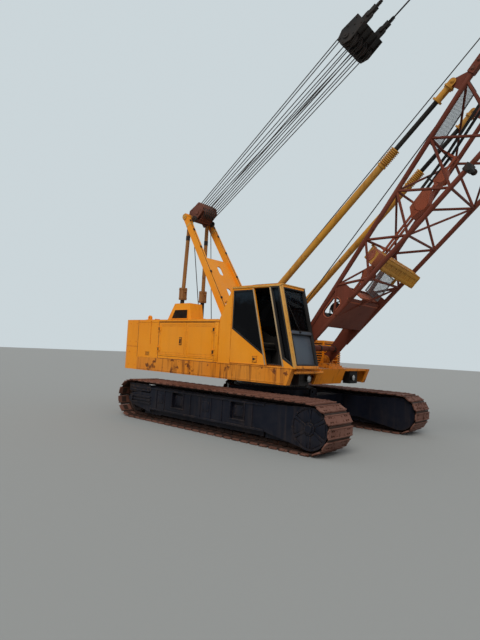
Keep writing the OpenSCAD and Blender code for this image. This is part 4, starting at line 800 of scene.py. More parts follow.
# Track shoes and chains
# Each track is a chain of forged links with a cast steel shoe bolted on every link. A shoe has a
# stepped front lip, two low ribs and pairs of mud holes; it is rusty, dusty and worn bright on top.
shoe_finish = weathered("rusty_shoe_steel", (0.105, 0.040, 0.026, 1), (0.185, 0.084, 0.060, 1),
                        rust=(0.035, 0.014, 0.009, 1), dust=(0.24, 0.14, 0.105, 1), spots=0.66, streaks=0.3,
                        edge_wear=0.6, dusting=0.38, low_dirt=0.22, gloss=0.55, spot_scale=9.0, bump=0.006)
link_mud_and_lip_shade_finish = weathered("muddy_link_steel_and_painted_lip_shade", (0.022, 0.014, 0.011, 1), (0.045, 0.028, 0.021, 1),
                        rust=(0.065, 0.028, 0.017, 1), dust=(0.060, 0.034, 0.026, 1), spots=0.5, streaks=0.3,
                        edge_wear=0.5, dusting=0.5, low_dirt=0.4, gloss=0.55, spot_scale=9.0)
track_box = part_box("track_right")
track_middle = (track_box[0].y + track_box[1].y) / 2
shoe_half = (track_box[1].y - track_box[0].y) / 2
tracks = (("right", track_middle), ("left", -track_middle))
shoe_count = 57
axle_x = 2.460
axle_z = 0.440
belt_r = 0.406
belt_run = 2 * axle_x
belt_bend = math.pi * belt_r
shoe_pitch = 2 * (belt_run + belt_bend) / shoe_count


def belt_place(u):
    """Place on the chain's pitch line at a distance u along it, as X and Z."""
    u %= 2 * (belt_run + belt_bend)
    if u < belt_run:
        return Vector((u - axle_x, axle_z - belt_r))
    if u < belt_run + belt_bend:
        turn = (u - belt_run) / belt_r - math.pi / 2
        return Vector((axle_x + belt_r * math.cos(turn), axle_z + belt_r * math.sin(turn)))
    if u < 2 * belt_run + belt_bend:
        return Vector((axle_x - (u - belt_run - belt_bend), axle_z + belt_r))
    turn = (u - 2 * belt_run - belt_bend) / belt_r + math.pi / 2
    return Vector((-axle_x + belt_r * math.cos(turn), axle_z + belt_r * math.sin(turn)))


def belt_matrices(middle):
    """Places of the links along a track: X along the chain, Z outwards."""
    places = []
    for i in range(shoe_count):
        a, b = belt_place(i * shoe_pitch), belt_place((i + 1) * shoe_pitch)
        way = (b - a).normalized()
        centre = (a + b) / 2
        x_axis = Vector((way.x, 0, way.y))
        z_axis = Vector((way.y, 0, -way.x))
        turn = axes(x_axis, z_axis.cross(x_axis), z_axis)
        places.append(Matrix.Translation((centre.x, middle, centre.y)) @ turn)
    return places


def shoe():
    """One shoe: plate with cut corners, two ribs, holes and bolt heads."""
    half = shoe_pitch * 0.475
    front = half - 0.030
    body = box((-half, -shoe_half, 0.002), (front, shoe_half, 0.025), 0.004, 1)
    holes = boxes([((x - 0.013, y - 0.021, -0.02), (x + 0.013, y + 0.021, 0.06))
                   for x in (-0.052, 0.028) for y in (-0.285, -0.225, 0.225, 0.285)])
    for x in (-half, front):
        for y in (-shoe_half, shoe_half):
            corner = [box((-0.032, -0.032, -0.02), (0.032, 0.032, 0.06))]
            holes += moved(corner, turned_at((x, y, 0), math.pi / 4, "Z"))
    cut(body, holes)
    ribs = boxes([((x - 0.011, -shoe_half + 0.006, 0.020), (x + 0.011, shoe_half - 0.006, 0.0335))
                  for x in (-half + 0.020, 0.062)], 0.004, 1)
    bolts = [rod((x, y, 0.024), (x, y, 0.0325), 0.014, 6) for x in (-0.050, 0.028) for y in (-0.115, 0.115)]
    return joined([body] + ribs + bolts, "shoe")


def link():
    """One chain link: two side plates, the pin's bush and its ends, and the shoe's lapped lip in mud and
    painted shade.
    """
    half = shoe_pitch / 2
    lip_half = shoe_half - 0.045
    pin = (half, 0, -0.038)
    # the shoe's lip takes the links' dark finish: mud, and painted shade of the gap between shoes
    made = [box((half - 0.044, -lip_half, -0.006), (half + 0.002, lip_half, 0.013), 0.004, 1)]
    made += boxes([((-half - 0.022, y - 0.017, -0.072), (half + 0.022, y + 0.017, 0.001))
                   for y in (-0.098, 0.098)], 0.012, 1)
    made += [cross_rod(pin, -0.085, 0.085, 0.030), cross_rod(pin, -0.128, 0.128, 0.018, 10)]
    # mud caked under the holes
    made += boxes([((-0.075, y - 0.060, -0.007), (0.048, y + 0.060, 0.004))
                   for y in (-0.255, 0.255)], 0.004, 1)
    return joined(made, "link")


for side, middle in tracks:
    places = belt_matrices(middle)
    shoes = settle(copies(shoe(), places, "shoes_" + side), "undercarriage", shoe_finish)
    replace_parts(shoes, "track_" + side)
    settle(copies(link(), places, "chain_" + side), "undercarriage", link_mud_and_lip_shade_finish)

# Wheels inside the tracks
# Cast sprockets in front drive the chains by their teeth, smooth idlers guide them behind, and the
# bottom rollers have flanges beside the chain. All turn on greased axles with capped ends.
flange_profile = [(0.0, -0.012), (0.0, 0.012), (0.020, 0.012), (0.026, 0.006), (0.026, -0.006),
                  (0.020, -0.012)]
rim_profile = [(0, -0.014), (0, 0.014), (0.055, 0.020), (0.055, -0.020)]
roller_z = 0.1965
roller_count = 9
roller_first, roller_last = -1.60, 1.34
roller_step = (roller_last - roller_first) / (roller_count - 1)
roller_xs = [roller_first + i * roller_step for i in range(roller_count)]
tooth_count = 12
for side, middle in tracks:
    wheel_parts = []
    for i in range(tooth_count):
        tooth = box((-0.028, middle - 0.055, 0.300), (0.028, middle + 0.055, 0.352), 0.014)
        wheel_parts += moved([tooth], turned_at((axle_x, 0, axle_z), 2 * math.pi * i / tooth_count))
    wheel_parts += [ring((x, middle + y, axle_z), 0.246, rim_profile, 48) for x in (-axle_x, axle_x)
                    for y in (-0.112, 0.112)]
    wheel_parts += [ring((x, middle + y, roller_z), 0.050, flange_profile, 24) for x in roller_xs
                    for y in (-0.150, 0.150)]
    wheel_parts += [cross_rod((x, middle, roller_z), -0.175, 0.175, 0.034, 16) for x in roller_xs]
    finished(wheel_parts, "wheel_details_" + side, "undercarriage", wheel_steel)

# Track frame details
# The welded box frames have framed pockets that show the cross beams' ends, spoked end plates with
# capped hubs over the final drives, guards over the rollers, and bolted covers.
frame_half = 0.300
web_outline = [(0.118, -0.050), (0.118, 0.050), (0.300, 0.120), (0.300, -0.120)]
for side, middle in tracks:
    out = -1 if side == "right" else 1
    face = middle + out * frame_half
    face_way = (0, out, 0)
    end_plate = Vector((axle_x, face, axle_z))
    parts = []

    def on_face(x0, x1, z0, z1, depth, bevel=0.004, base=0.0):
        """A raised block on the frame's outer face."""
        ys = sorted((face + out * (base - 0.003), face + out * (base + depth)))
        return box((x0, ys[0], z0), (x1, ys[1], z1), bevel, 2)

    for x in (-0.850, 0.850):
        parts += [on_face(x - 0.200, x + 0.200, z, z + 0.022, 0.014) for z in (0.358, 0.696)]
        parts += [on_face(x + e, x + e + 0.022, 0.372, 0.704, 0.014) for e in (-0.192, 0.170)]
        parts.append(on_face(x - 0.115, x + 0.115, 0.430, 0.640, 0.030, 0.01, -0.066))
        parts += bolt_heads([(x + a, face - out * 0.036, z) for a in (-0.08, 0.08) for z in (0.47, 0.60)],
                            face_way)
    # stiffening ribs between the flanges and bolted covers
    parts += [on_face(x - 0.007, x + 0.007, 0.284, 0.706, 0.013, 0.003)
              for x in (-1.55, -1.28, -0.45, -0.15, 0.15, 0.45, 1.22)]
    for x0, x1 in ((-0.10, 0.10), (-1.50, -1.33)):
        parts.append(on_face(x0, x1, 0.42, 0.62, 0.010))
        parts += bolt_heads([(x, face + out * 0.010, z) for x in (x0 + 0.025, x1 - 0.025)
                             for z in (0.445, 0.595)], face_way, 0.011, 0.009)
    # spokes, hub cap and bolts of the end plate
    for i in range(6):
        turn = math.pi / 3 * i + math.pi / 6
        spoke = on_face(0.085, 0.330, -0.022, 0.022, 0.020)
        parts += moved([spoke], turned_at((axle_x, 0, axle_z), -turn))
        web = plate(web_outline, face + out * 0.006, 0.012)
        parts += moved([web], turned_at((axle_x, 0, axle_z), -turn - math.pi / 6))
    parts.append(cross_rod(end_plate, 0, out * 0.055, 0.068, 32))
    for count, radius, proud, head_r in ((8, 0.087, 0.030, 0.010), (16, 0.340, 0.015, 0.011)):
        parts += bolt_heads([end_plate + Vector((a, out * proud, b)) for a, b in circle(count, radius)],
                            face_way, head_r, 0.010)
    # idler yoke: axle cap, ribbed plate, cover under the chain's top run and guards by the rollers
    parts.append(cross_rod((-axle_x, face, axle_z), out * 0.002, out * 0.040, 0.060, 24))
    parts.append(on_face(-2.560, -1.780, 0.600, 0.792, 0.0))
    parts += [on_face(-2.540, -1.800, z - 0.012, z + 0.012, 0.016) for z in (0.640, 0.700, 0.770)]
    parts.append(box((-1.950, middle - 0.260, 0.690), (1.950, middle + 0.260, 0.764), 0.012, 1))
    for y in (middle - 0.205, middle + 0.205):
        parts.append(box((-1.70, y - 0.008, 0.150), (1.44, y + 0.008, 0.262), 0.003, 1))
        parts += boxes([((min(x, x * 0.72), y - 0.007, 0.134), (max(x, x * 0.72), y + 0.007, 0.240))
                        for x in (-2.050, 2.050)], 0.003, 1)
    finished(parts, "track_frame_details_" + side, "undercarriage", navy)

# Side doors and panels of the houses
# Pressed steel doors have a frame bead round their edge, a sunk latch at the seam and dark steel
# hinges. Bolt rows hold the roof lip and the fixed rear panel, and a louvre closes the vent. Dark red
# strips along the door gaps and the panel joints are painted shade of the gaps.
upwards = (0, 0, 1)
house_side = 1.580
roof_top = 2.310
door_span = {"rear": (-2.242, -1.288), "front": (-1.282, -0.403)}
bead_x = 0.045
bead_low, bead_high = 1.446 + bead_x, 2.239 - bead_x
hinge_y = 1.594
hinge_zs = (1.560, 2.045)
hinge_x = {"rear": -2.245, "front": -0.400}


def side_block(side, x0, x1, z0, z1, proud, bevel=0.003, base=0.0):
    """A block on the outer face of the upper machine's right (-1) or left (1) side."""
    y0, y1 = outward(side, house_side + base - 0.003, house_side + base + proud)
    return box((x0, y0, z0), (x1, y1, z1), bevel)


def side_blocks(side, spans, proud, bevel=0.003, base=0.0):
    """Blocks on one side, each with its own span of X and Z."""
    return [side_block(side, *span, proud, bevel, base) for span in spans]


def side_bolts(side, places, radius, height, proud=0.0):
    """Bolt heads on one side of the upper machine at pairs of X and Z."""
    return bolt_heads([(x, side * (house_side + proud), z) for x, z in places], (0, side, 0), radius, height)


def strips(x0, x1, z0, z1, wide):
    """Spans of the four strips that frame a rectangle: below, above, behind and in front."""
    return ((x0, x1, z0, z0 + wide), (x0, x1, z1 - wide, z1),
            (x0, x0 + wide, z0, z1), (x1 - wide, x1, z0, z1))


def slat(x0, x1, half, thick, y, z, tilt):
    """A slat along X with eased edges, tilted about its length."""
    blade = box((x0, -half, -thick / 2), (x1, half, thick / 2), thick / 3, 1)
    return moved([blade], turned_at((0, y, z), math.radians(tilt), "X"))[0]


for side, side_name in ((-1, "right"), (1, "left")):
    for which, (x0, x1) in door_span.items():
        name = side_name + "_" + which
        spans = [(x0 + bead_x, x1 - bead_x, z - 0.006, z + 0.006) for z in (bead_low, bead_high)]
        spans += [(x - 0.006, x + 0.006, bead_low, bead_high) for x in (x0 + bead_x, x1 - bead_x)]
        beads = side_blocks(side, spans, 0.005)
        # two flat corner straps by the hinges and screws along the foot of the door
        edge = x0 + 0.004 if which == "rear" else x1 - 0.074
        beads += side_blocks(side, [(edge, edge + 0.070, z + 0.010, z + 0.070) for z in hinge_zs], 0.004)
        beads += side_bolts(side, [(x0 + 0.10 + 0.19 * k, 1.466) for k in range(5)], 0.007, 0.004)
        finished(beads, "door_beads_" + name, "door_" + name, yellow)
        hinge = (hinge_x[which], side * hinge_y)
        knuckles = [rod((*hinge, z + 0.004), (*hinge, z + 0.076), 0.0155, 16) for z in hinge_zs]
        if which == "rear":
            knuckles += side_blocks(side, strips(-1.502, -1.424, 1.722, 1.898, 0.010), 0.010, 0.002)
            knuckles.append(side_block(side, -1.484, -1.442, 1.760, 1.862, 0.005, 0.002, 0.013))
            knuckles.append(cross_rod((-1.463, side * house_side, 1.775), side * 0.017, side * 0.034, 0.010))
            knuckles.append(side_block(side, -1.472, -1.454, 1.766, 1.846, 0.007, 0.002, 0.027))
        finished(knuckles, "door_fittings_" + name, "door_" + name, black)
    panel = side_blocks(side, ((-3.075, -2.600, 2.245, 2.290), (-2.560, -2.300, 2.245, 2.290),
                               (-0.370, -0.262, 1.420, 2.250)), 0.006)
    panel += side_bolts(side, [(x, 2.200) for x in (-3.03, -2.86, -2.69, -2.52, -2.32)], 0.009, 0.007)
    panel += side_bolts(side, [(x, 1.405) for x in (-3.03, -2.86, -2.52, -2.32, -1.9, -1.5, -1.1, -0.7,
                                                    -0.3)], 0.009, 0.007)
    panel += side_bolts(side, [(-2.300, z) for z in (1.50, 1.70, 1.90, 2.10)], 0.009, 0.007)
    panel += side_bolts(side, [(-0.316, z) for z in (1.47, 1.72, 1.97, 2.20)], 0.009, 0.007, 0.005)
    panel += side_bolts(side, [(-2.20 + 0.21 * k, 2.288) for k in range(10)], 0.007, 0.005, 0.018)
    # roof hatches with their grips
    hatch_y = outward(side, 0.92, 1.48)
    for x0, x1 in ((-1.25, -0.40), (-2.95, -2.56)):
        panel.append(box((x0, hatch_y[0], roof_top - 0.002), (x1, hatch_y[1], roof_top + 0.016), 0.005))
        grip_x, grip_y = x0 + 0.10, side * 1.19
        panel.append(cross_rod((grip_x, grip_y, roof_top + 0.045), -0.07, 0.07, 0.008))
        panel += [rod((grip_x, grip_y + e, roof_top + 0.01), (grip_x, grip_y + e, roof_top + 0.045), 0.008)
                  for e in (-0.07, 0.07)]
        panel += bolt_heads([(x, grip_y + e, roof_top + 0.016) for x in (x0 + 0.03, x1 - 0.03)
                             for e in (-0.25, 0.25)], upwards, 0.008, 0.006)
    finished(panel, "house_panels_" + side_name, "upper", yellow)
    # dark red strips along the door gaps and panel joints: painted shade of the gaps
    gap_shade_strips = side_blocks(side, ((-3.096, -3.084, 1.382, 2.306), (-2.274, -2.262, 1.382, 2.262),
                               (-0.378, -0.366, 1.382, 2.262), (-2.268, -0.252, 1.378, 1.388),
                               (-2.268, -0.372, 2.252, 2.264)), 0.002, 0.001)
    finished(gap_shade_strips, "house_gap_shade_" + side_name, "upper", dark_red)
    slats = [slat(-2.752, -2.608, 0.011, 0.003, side * (house_side - 0.012), 1.431 + 0.0155 * k, side * 40)
             for k in range(6)]
    finished(slats, "vent_slats_" + side_name, "upper", black)

# Exhaust hood
# A sheet steel hood over the silencer, screwed to the right house's roof by a foot flange. Black
# slats stand in its grille before a black sheet that is painted shade of the hood's inside, and heat
# has burnt its paint to rust.
hood_rear, hood_front = -2.450, -1.550
hood_near, hood_far = -1.200, -0.795
flange = 0.030
flange_low, flange_top = roof_top - 0.002, roof_top + 0.006
hood_parts = [box((hood_rear - flange, hood_near - flange, flange_low),
                  (hood_front + flange, hood_near, flange_top), 0.002)]
hood_parts += boxes([((x, hood_near, flange_low), (x + flange, hood_far, flange_top))
                     for x in (hood_rear - flange, hood_front)], 0.002)
hood_parts += bolt_heads([(hood_rear + 0.06 + 0.13 * k, hood_near - flange / 2, flange_top)
                          for k in range(7)], upwards, 0.007, 0.006)
hood_parts += bolt_heads([(x, hood_near, z) for x, z in (
    (-2.37, 2.35), (-1.62, 2.35), (-2.16, 2.70), (-1.69, 2.70))], (0, -1, 0), 0.008, 0.006)
finished(hood_parts, "exhaust_hood_fittings", "upper", yellow_hood)
grille_low, grille_high = roof_top + 0.062, roof_top + 0.268
grille_outline = [(hood_rear + 0.186, grille_low), (hood_rear + 0.302, grille_high),
                  (hood_front - 0.150, grille_high), (hood_front - 0.150, grille_low)]
grille_frame = cut(plate(grown(grille_outline, 0.020), hood_near - 0.004, 0.016, bevel=0.003),
                   [plate(grille_outline, hood_near, 0.08, bevel=0)])
finished([grille_frame], "exhaust_hood_grille_frame", "upper", yellow_hood)
# a black sheet behind the slats: painted shade of the hood's inside
slats = [plate(grown(grille_outline, 0.004), hood_near + 0.001, 0.004, bevel=0)]
for k in range(12):
    height = grille_low + 0.010 + 0.017 * k
    slats.append(slat(hood_rear + 0.190 + (height - grille_low) * 0.56, hood_front - 0.152, 0.008, 0.0024,
                      hood_near - 0.006, height, -40))
finished(slats, "exhaust_hood_grille", "upper", black)

# Engine, oil tank and winch ropes
# An oily iron block with ribbed covers, pipes and filters fills the right house, and the left one
# holds the hydraulic oil tank with its bolts and pipes. Rope lies in turns on the three winches.
engine_low, engine_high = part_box("engine")
engine_side, engine_top = engine_low.y, engine_high.z
engine_middle = (engine_low.y + engine_high.y) / 2
engine_parts = []
for k in range(6):
    x = engine_low.x + 0.20 + 0.20 * k
    engine_parts.append(box((x - 0.085, engine_middle - 0.10, engine_top - 0.01),
                            (x + 0.085, engine_middle + 0.10, engine_top + 0.055), 0.018, 3))
    engine_parts += bolt_heads([(x, engine_middle, engine_top + 0.055)], upwards, 0.012, 0.012)
    engine_parts.append(cross_rod((x, engine_side, 1.92), 0, -0.035, 0.045, 20))
    pipe_x, pipe_y = x + 0.10, engine_side - 0.022
    engine_parts.append(rod((pipe_x, pipe_y, 1.52), (pipe_x, pipe_y, 2.02), 0.009))
engine_parts.append(rod((engine_low.x + 0.10, engine_side - 0.030, 2.04),
                        (engine_high.x - 0.10, engine_side - 0.030, 2.04), 0.024, 16))
engine_parts.append(box((engine_low.x + 0.05, engine_side - 0.018, 1.42),
                        (engine_high.x - 0.05, engine_side + 0.01, 1.50), 0.006))
engine_parts += bolt_heads([(engine_low.x + 0.10 + 0.15 * k, engine_side - 0.018, 1.46) for k in range(9)],
                           (0, -1, 0), 0.011, 0.010)
engine_parts += [rod((x, engine_side - 0.026, 1.56), (x, engine_side - 0.026, 1.78), 0.046, 24)
                 for x in (-1.75, -1.32)]
finished(engine_parts, "engine_fittings", "upper", iron)
tank_parts = [box((-2.35, 0.90, 1.385), (-1.35, 1.44, 2.12), 0.03, 3),
              box((-1.15, 0.95, 1.385), (-0.45, 1.38, 1.62), 0.015)]
tank_parts += [rod((x, 1.17, 2.11), (x, 1.17, 2.17), 0.06, 24) for x in (-2.1, -1.65)]
tank_parts += [rod((x, 1.30, 1.60), (x, 1.30, 2.02), 0.014) for x in [-1.05 + 0.13 * k for k in range(5)]]
tank_parts.append(rod((-1.33, 1.30, 2.02), (-0.50, 1.30, 2.02), 0.022, 16))
tank_parts += bolt_heads([(x, 1.44, z) for x in (-2.28, -1.42) for z in (1.47, 2.04)], (0, 1, 0),
                         0.012, 0.010)
finished(tank_parts, "hydraulic_tank", "upper", iron)
rope_layers = []
for x, z, layer_r, half in ((0.22, winch_z, 0.224, 0.300), (-1.35, winch_z, 0.224, 0.300),
                            (-2.15, 1.680, 0.194, 0.240)):
    for k in range(int(half / rope_r)):
        y = -half + 1.3 * rope_r + 2 * rope_r * k
        rope_layers.append(ring((x, y, z), layer_r - rope_r * 0.2, circle(6, rope_r)))
finished(rope_layers, "winch_rope_layers", "upper", rope_short, 60)

# Counterweight and deck fittings
# Cast slabs with their clamp bolts, bolt rows along the skirts, tread bars on the step beam and the
# nose, and lamps with ribbed lenses under it.
weight_parts = []
for y in (-0.95, 0.95):
    weight_parts.append(rod((-3.715, y, 1.36), (-3.700, y, 1.36), 0.075, 32))
    weight_parts += bolt_heads([(-3.708, y, 1.36)], (-1, 0, 0), 0.040, 0.020)
    weight_parts += bolt_heads([(x, y * 1.12, roof_top) for x in (-3.55, -3.25)], upwards, 0.030, 0.022)
for side in (-1, 1):
    weight_parts += side_bolts(side, [(x, z) for x in (-3.42, -3.16) for z in (1.18, 1.50, 1.76, 2.22)],
                               0.014, 0.009)
finished(weight_parts, "counterweight_bolts", "upper", yellow)
deck_parts = []
for side in (-1, 1):
    deck_parts += side_bolts(side, [(-3.0 + 0.38 * k, 1.340) for k in range(12)], 0.010, 0.006)
    deck_parts.append(side_block(side, -3.07, 1.50, 1.085, 1.110, 0.005, 0.002))
    deck_parts += side_blocks(side, [(x - 0.012, x + 0.012, 1.110, 1.330)
                                     for x in (-2.42, -1.10, 0.20, 1.30)], 0.004, 0.002)
# cleats on the step beam and tread bars on the steps of the nose
deck_parts += boxes([((1.692, y, 1.334), (1.740, y + 0.018, 1.344))
                     for y in [-1.480 + 0.070 * k for k in range(13)]], 0.002, 1)
for k in range(3):
    step_z = 1.380 + 0.034 * (k + 1)
    deck_parts += boxes([((x, -0.030, step_z - 0.002), (x + 0.012, 0.410, step_z + 0.004))
                         for x in [1.455 - 0.05 * k + 0.070 * j for j in range(3)]], 0.001, 1)
finished(deck_parts, "deck_fittings", "upper", yellow_low)
lamp_r = 0.066
bezel_profile = [(0, -0.004), (0, 0.004), (0.014, 0.006), (0.014, -0.006)]
lamp_parts = []
lens_parts = []
for side in (-1, 1):
    bezel = ring((0, 0, 0), lamp_r, bezel_profile, 40)
    lamp_parts += moved([bezel], turned_at((1.640, side * 0.91, 1.18), math.pi / 2, "Z"))
    lamp_parts += bolt_heads([(1.580, side * y, z) for y in (0.86, 1.15) for z in (1.08, 1.31)], (1, 0, 0),
                             0.008, 0.006)
    y0, y1 = outward(side, 1.03, 1.13)
    lamp_parts.append(box((1.576, y0, 1.12), (1.586, y1, 1.26), 0.003))
    bpy.ops.object.select_all(action="DESELECT")
    bpy.ops.mesh.primitive_uv_sphere_add(segments=32, ring_count=16, radius=lamp_r,
                                         location=(1.634, side * 0.91, 1.18))
    bpy.context.object.scale = (0.22, 1, 1)
    lens_parts.append(bpy.context.object)
finished(lamp_parts, "lamp_fittings", "upper", trim)
lens_finish = bpy.data.materials.new("dusty_lamp_lens")
lens_finish.use_nodes = True
lens_tree = lens_finish.node_tree
lens_shader = lens_tree.nodes["Principled BSDF"]
lens_place = lens_tree.nodes.new("ShaderNodeTexCoord").outputs["Object"]
lens_waves = noise(lens_tree, stretched(lens_tree, lens_place, (0, 40, 0)), 1.0, 0)
lens_ribs = math_node(lens_tree, "SINE", math_node(lens_tree, "MULTIPLY", lens_waves, 40.0))
lens_dust = ramp(lens_tree, noise(lens_tree, lens_place, 30.0, 5), 0.3, 0.7)
lens_colour = mix_colour(lens_tree, lens_dust, (0.34, 0.36, 0.37, 1), (0.52, 0.53, 0.51, 1))
lens_tree.links.new(lens_colour, lens_shader.inputs["Base Color"])
lens_shader.inputs["Roughness"].default_value = 0.12
lens_shader.inputs["Metallic"].default_value = 0.45
raised(lens_tree, lens_ribs, 0.002)
finished(lens_parts, "lamp_lenses", "upper", lens_finish)

# Cab shell and its windows
# Folded steel cab with rubber gaskets round its panes, pale covers on the leaning posts, a black
# frame round the windshield, a wiper and a roof hatch. The door hangs on a rail along its foot.
post_paint = weathered("pale_post_enamel", (0.40, 0.285, 0.155, 1), (0.46, 0.33, 0.18, 1), spots=0.30,
                       streaks=0.3, edge_wear=0.6, dusting=0.2, gloss=0.42, spot_scale=9.0)
pillar_paint = weathered("worn_pillar_enamel", (0.60, 0.30, 0.055, 1), (0.66, 0.37, 0.10, 1), spots=0.34,
                         streaks=0.3, edge_wear=0.8, dusting=0.2, gloss=0.42, spot_scale=8.0)
rubber = weathered("window_rubber", (0.012, 0.012, 0.013, 1), (0.022, 0.022, 0.023, 1),
                   rust=(0.03, 0.028, 0.026, 1), spots=0.1, streaks=0.1, edge_wear=0.2, dusting=0.3,
                   gloss=0.62, bump=0.001)
rail_paint = weathered("grey_rail_enamel", (0.060, 0.080, 0.105, 1), (0.080, 0.102, 0.130, 1), spots=0.2,
                       streaks=0.2, edge_wear=0.4, dusting=0.5, gloss=0.4)
cab_face = -1.580
cab_inner_face = -0.775
cab_wall = 0.045
cab_roof = 3.000
front_x = 1.350
front_lean = 0.2593
front_skew = math.sqrt(1 + front_lean ** 2)


def lean_x(x, z):
    """X at height z of a line that leans like the front post and passes x at the roof."""
    return x + (cab_roof - z) * front_lean


def leant(x, z):
    """Outline point at height z on a line that leans like the front post."""
    return (lean_x(x, z), z)


def gasket(points, y0, y1, wide=0.024):
    """A rubber band that lines a pane's opening, from y0 to y1."""
    middle = (y0 + y1) / 2
    band = plate(grown(points, wide), middle, y1 - y0, bevel=0.002)
    return cut(band, [plate(grown(points, -0.008), middle, 0.3, bevel=0)])


door_pane = [(0.153, 2.125), (0.153, 2.890), leant(0.612, 2.890), leant(0.612, 1.640)]
front_quarter = [leant(1.092, 2.930), (1.293, 2.930), leant(1.275, 1.460),
                 (lean_x(1.092, 1.57) + 0.012, 1.570)]
rear_quarter = [(0.175, 2.080), (0.175, 2.890), leant(0.460, 2.890), leant(0.460, 1.840)]
inner_window = [(0.225, 2.200), (0.225, 2.890), leant(1.240, 2.890), leant(1.240, 1.800), leant(0.700, 1.800)]
pane_y0, pane_y1 = -1.520, -0.825
windshield_z = ((1.450, 2.040), (2.095, 2.925))
slope_down = Vector((front_lean, 0, -1)).normalized()
slope_out = Vector((1, 0, front_lean)).normalized()
front_turn = Matrix.Translation((front_x, 0, cab_roof)) @ axes(slope_out, (0, 1, 0), -slope_down)


def on_front(y0, y1, z0, z1, low, high, bevel=0.002):
    """A block on the leaning front: between two heights, from low to high out of its plane."""
    piece = box((low, y0, (z0 - cab_roof) * front_skew), (high, y1, (z1 - cab_roof) * front_skew), bevel)
    return moved([piece], front_turn)[0]


def leaning_strip(x0, x1, z0, z1, y, thick):
    """A strip on the side that leans like the front post."""
    return plate([leant(x0, z0), leant(x0, z1), leant(x1, z1), leant(x1, z0)], y, thick, bevel=0.0015)


finished([gasket(door_pane, cab_face - 0.004, cab_face + 0.036, 0.022)], "door_pane_gasket", "cab_door",
         rubber)
seals = [gasket(front_quarter, cab_face - 0.005, cab_face + 0.046, 0.026),
         gasket(inner_window, cab_inner_face - 0.047, cab_inner_face + 0.005),
         gasket(rear_quarter, cab_face + 0.038, cab_face + 0.047, 0.010)]
for low, high in windshield_z:
    for y0, y1, z0, z1 in ((pane_y0 - 0.006, pane_y0 + 0.020, low - 0.010, high + 0.010),
                           (pane_y1 - 0.020, pane_y1 + 0.006, low - 0.010, high + 0.010),
                           (pane_y0, pane_y1, low - 0.012, low + 0.014),
                           (pane_y0, pane_y1, high - 0.014, high + 0.012)):
        seals.append(on_front(y0, y1, z0, z1, -0.044, 0.005))
seals.append(on_front(-0.826, -0.776, 1.392, 2.985, -0.010, 0.004))
# the rear window's band
for y0, y1, z0, z1 in ((-1.475, -1.455, 2.335, 2.865), (-0.890, -0.870, 2.335, 2.865),
                       (-1.46, -0.885, 2.335, 2.355), (-1.46, -0.885, 2.845, 2.865)):
    seals.append(box((0.098, y0, z0), (0.112, y1, z1), 0.002))
finished(seals, "cab_window_seals", "upper", rubber)
finished([on_front(pane_y0 + 0.004, pane_y1 - 0.004, 2.040, 2.094, -0.004, 0.007)], "windshield_rail_cover",
         "upper", rail_paint)
finished([leaning_strip(0.622, 0.650, 1.412, 2.934, cab_face - 0.002, 0.006)], "door_post_cover", "cab_door",
         post_paint)
covers = [leaning_strip(1.050, 1.084, 1.404, 2.938, cab_face - 0.002, 0.007)]
covers += side_bolts(-1, [leant(1.067, z) for z in (1.55, 2.0, 2.45, 2.88)], 0.006, 0.003, 0.0055)
finished(covers, "cab_post_cover", "upper", post_paint)
pillars = [leaning_strip(1.296, 1.346, 1.395, 2.972, cab_face - 0.001, 0.006),
           on_front(-1.578, -1.528, 1.395, 2.972, -0.004, 0.004),
           box((0.100, -1.594, 2.950), (1.362, -1.574, 2.972), 0.004),
           box((0.100, -1.594, 2.972), (1.362, -1.590, 2.984), 0.001, 1),
           on_front(-1.582, -0.772, 2.978, 2.996, -0.004, 0.014)]
pillars += side_bolts(-1, [leant(1.320, z) for z in (1.48, 1.90, 2.32, 2.74)], 0.006, 0.004, 0.004)
finished(pillars, "cab_pillar_covers", "upper", pillar_paint)
sills = [side_block(-1, -0.235, 1.690, 1.374, 1.390, 0.009, 0.002),
         on_front(-1.576, -0.780, 1.384, 1.436, -0.004, 0.008),
         box((0.112, -1.596, 1.404), (1.10, -1.580, 1.412), 0.002)]
finished(sills, "cab_sills", "upper", yellow_low)
hatch = [box((0.560, -1.500, cab_roof - 0.002), (1.290, -0.860, cab_roof + 0.020), 0.008),
         box((0.600, -1.460, cab_roof + 0.018), (1.250, -0.900, cab_roof + 0.030), 0.006)]
hinge_z = cab_roof + 0.020
hatch += [rod((x, -0.872, hinge_z), (x + 0.10, -0.872, hinge_z), 0.010) for x in (0.70, 1.12)]
finished(hatch, "cab_roof_hatch", "upper", trim)
wiper_foot = Vector((lean_x(front_x, 2.068), -1.240, 2.068)) + slope_out * 0.020
wiper_end = Vector((lean_x(front_x, 2.520), -1.450, 2.520)) + slope_out * 0.022
wiper_way = (wiper_end - wiper_foot).normalized()
blade_foot = wiper_foot + wiper_way * 0.13
blade_end = wiper_end + wiper_way * 0.06
wiper = [rod(wiper_foot - slope_out * 0.014, wiper_foot + slope_out * 0.012, 0.018, 20),
         rod(wiper_foot, wiper_foot + wiper_way * 0.40, 0.006)]
wiper += [rod(blade_foot - slope_out * under, blade_end - slope_out * under, radius)
          for under, radius in ((0.004, 0.005), (0.012, 0.003))]
for share in (0.16, 0.27, 0.38, 0.46):
    clasp = wiper_foot + wiper_way * share
    wiper.append(rod(clasp - slope_out * 0.006, clasp + slope_out * 0.004, 0.008, 10))
finished(wiper, "cab_wiper", "upper", rubber)
latch = side_blocks(-1, strips(0.728, 0.832, 1.458, 1.572, 0.005), 0.004, 0.001, 0.012)
latch.append(cross_rod((0.800, cab_face, 1.515), -0.010, -0.018, 0.011, 16))
latch.append(side_block(-1, 0.745, 0.785, 1.490, 1.540, 0.010, 0.003, 0.012))
finished(latch, "cab_door_latch", "cab_door", black)
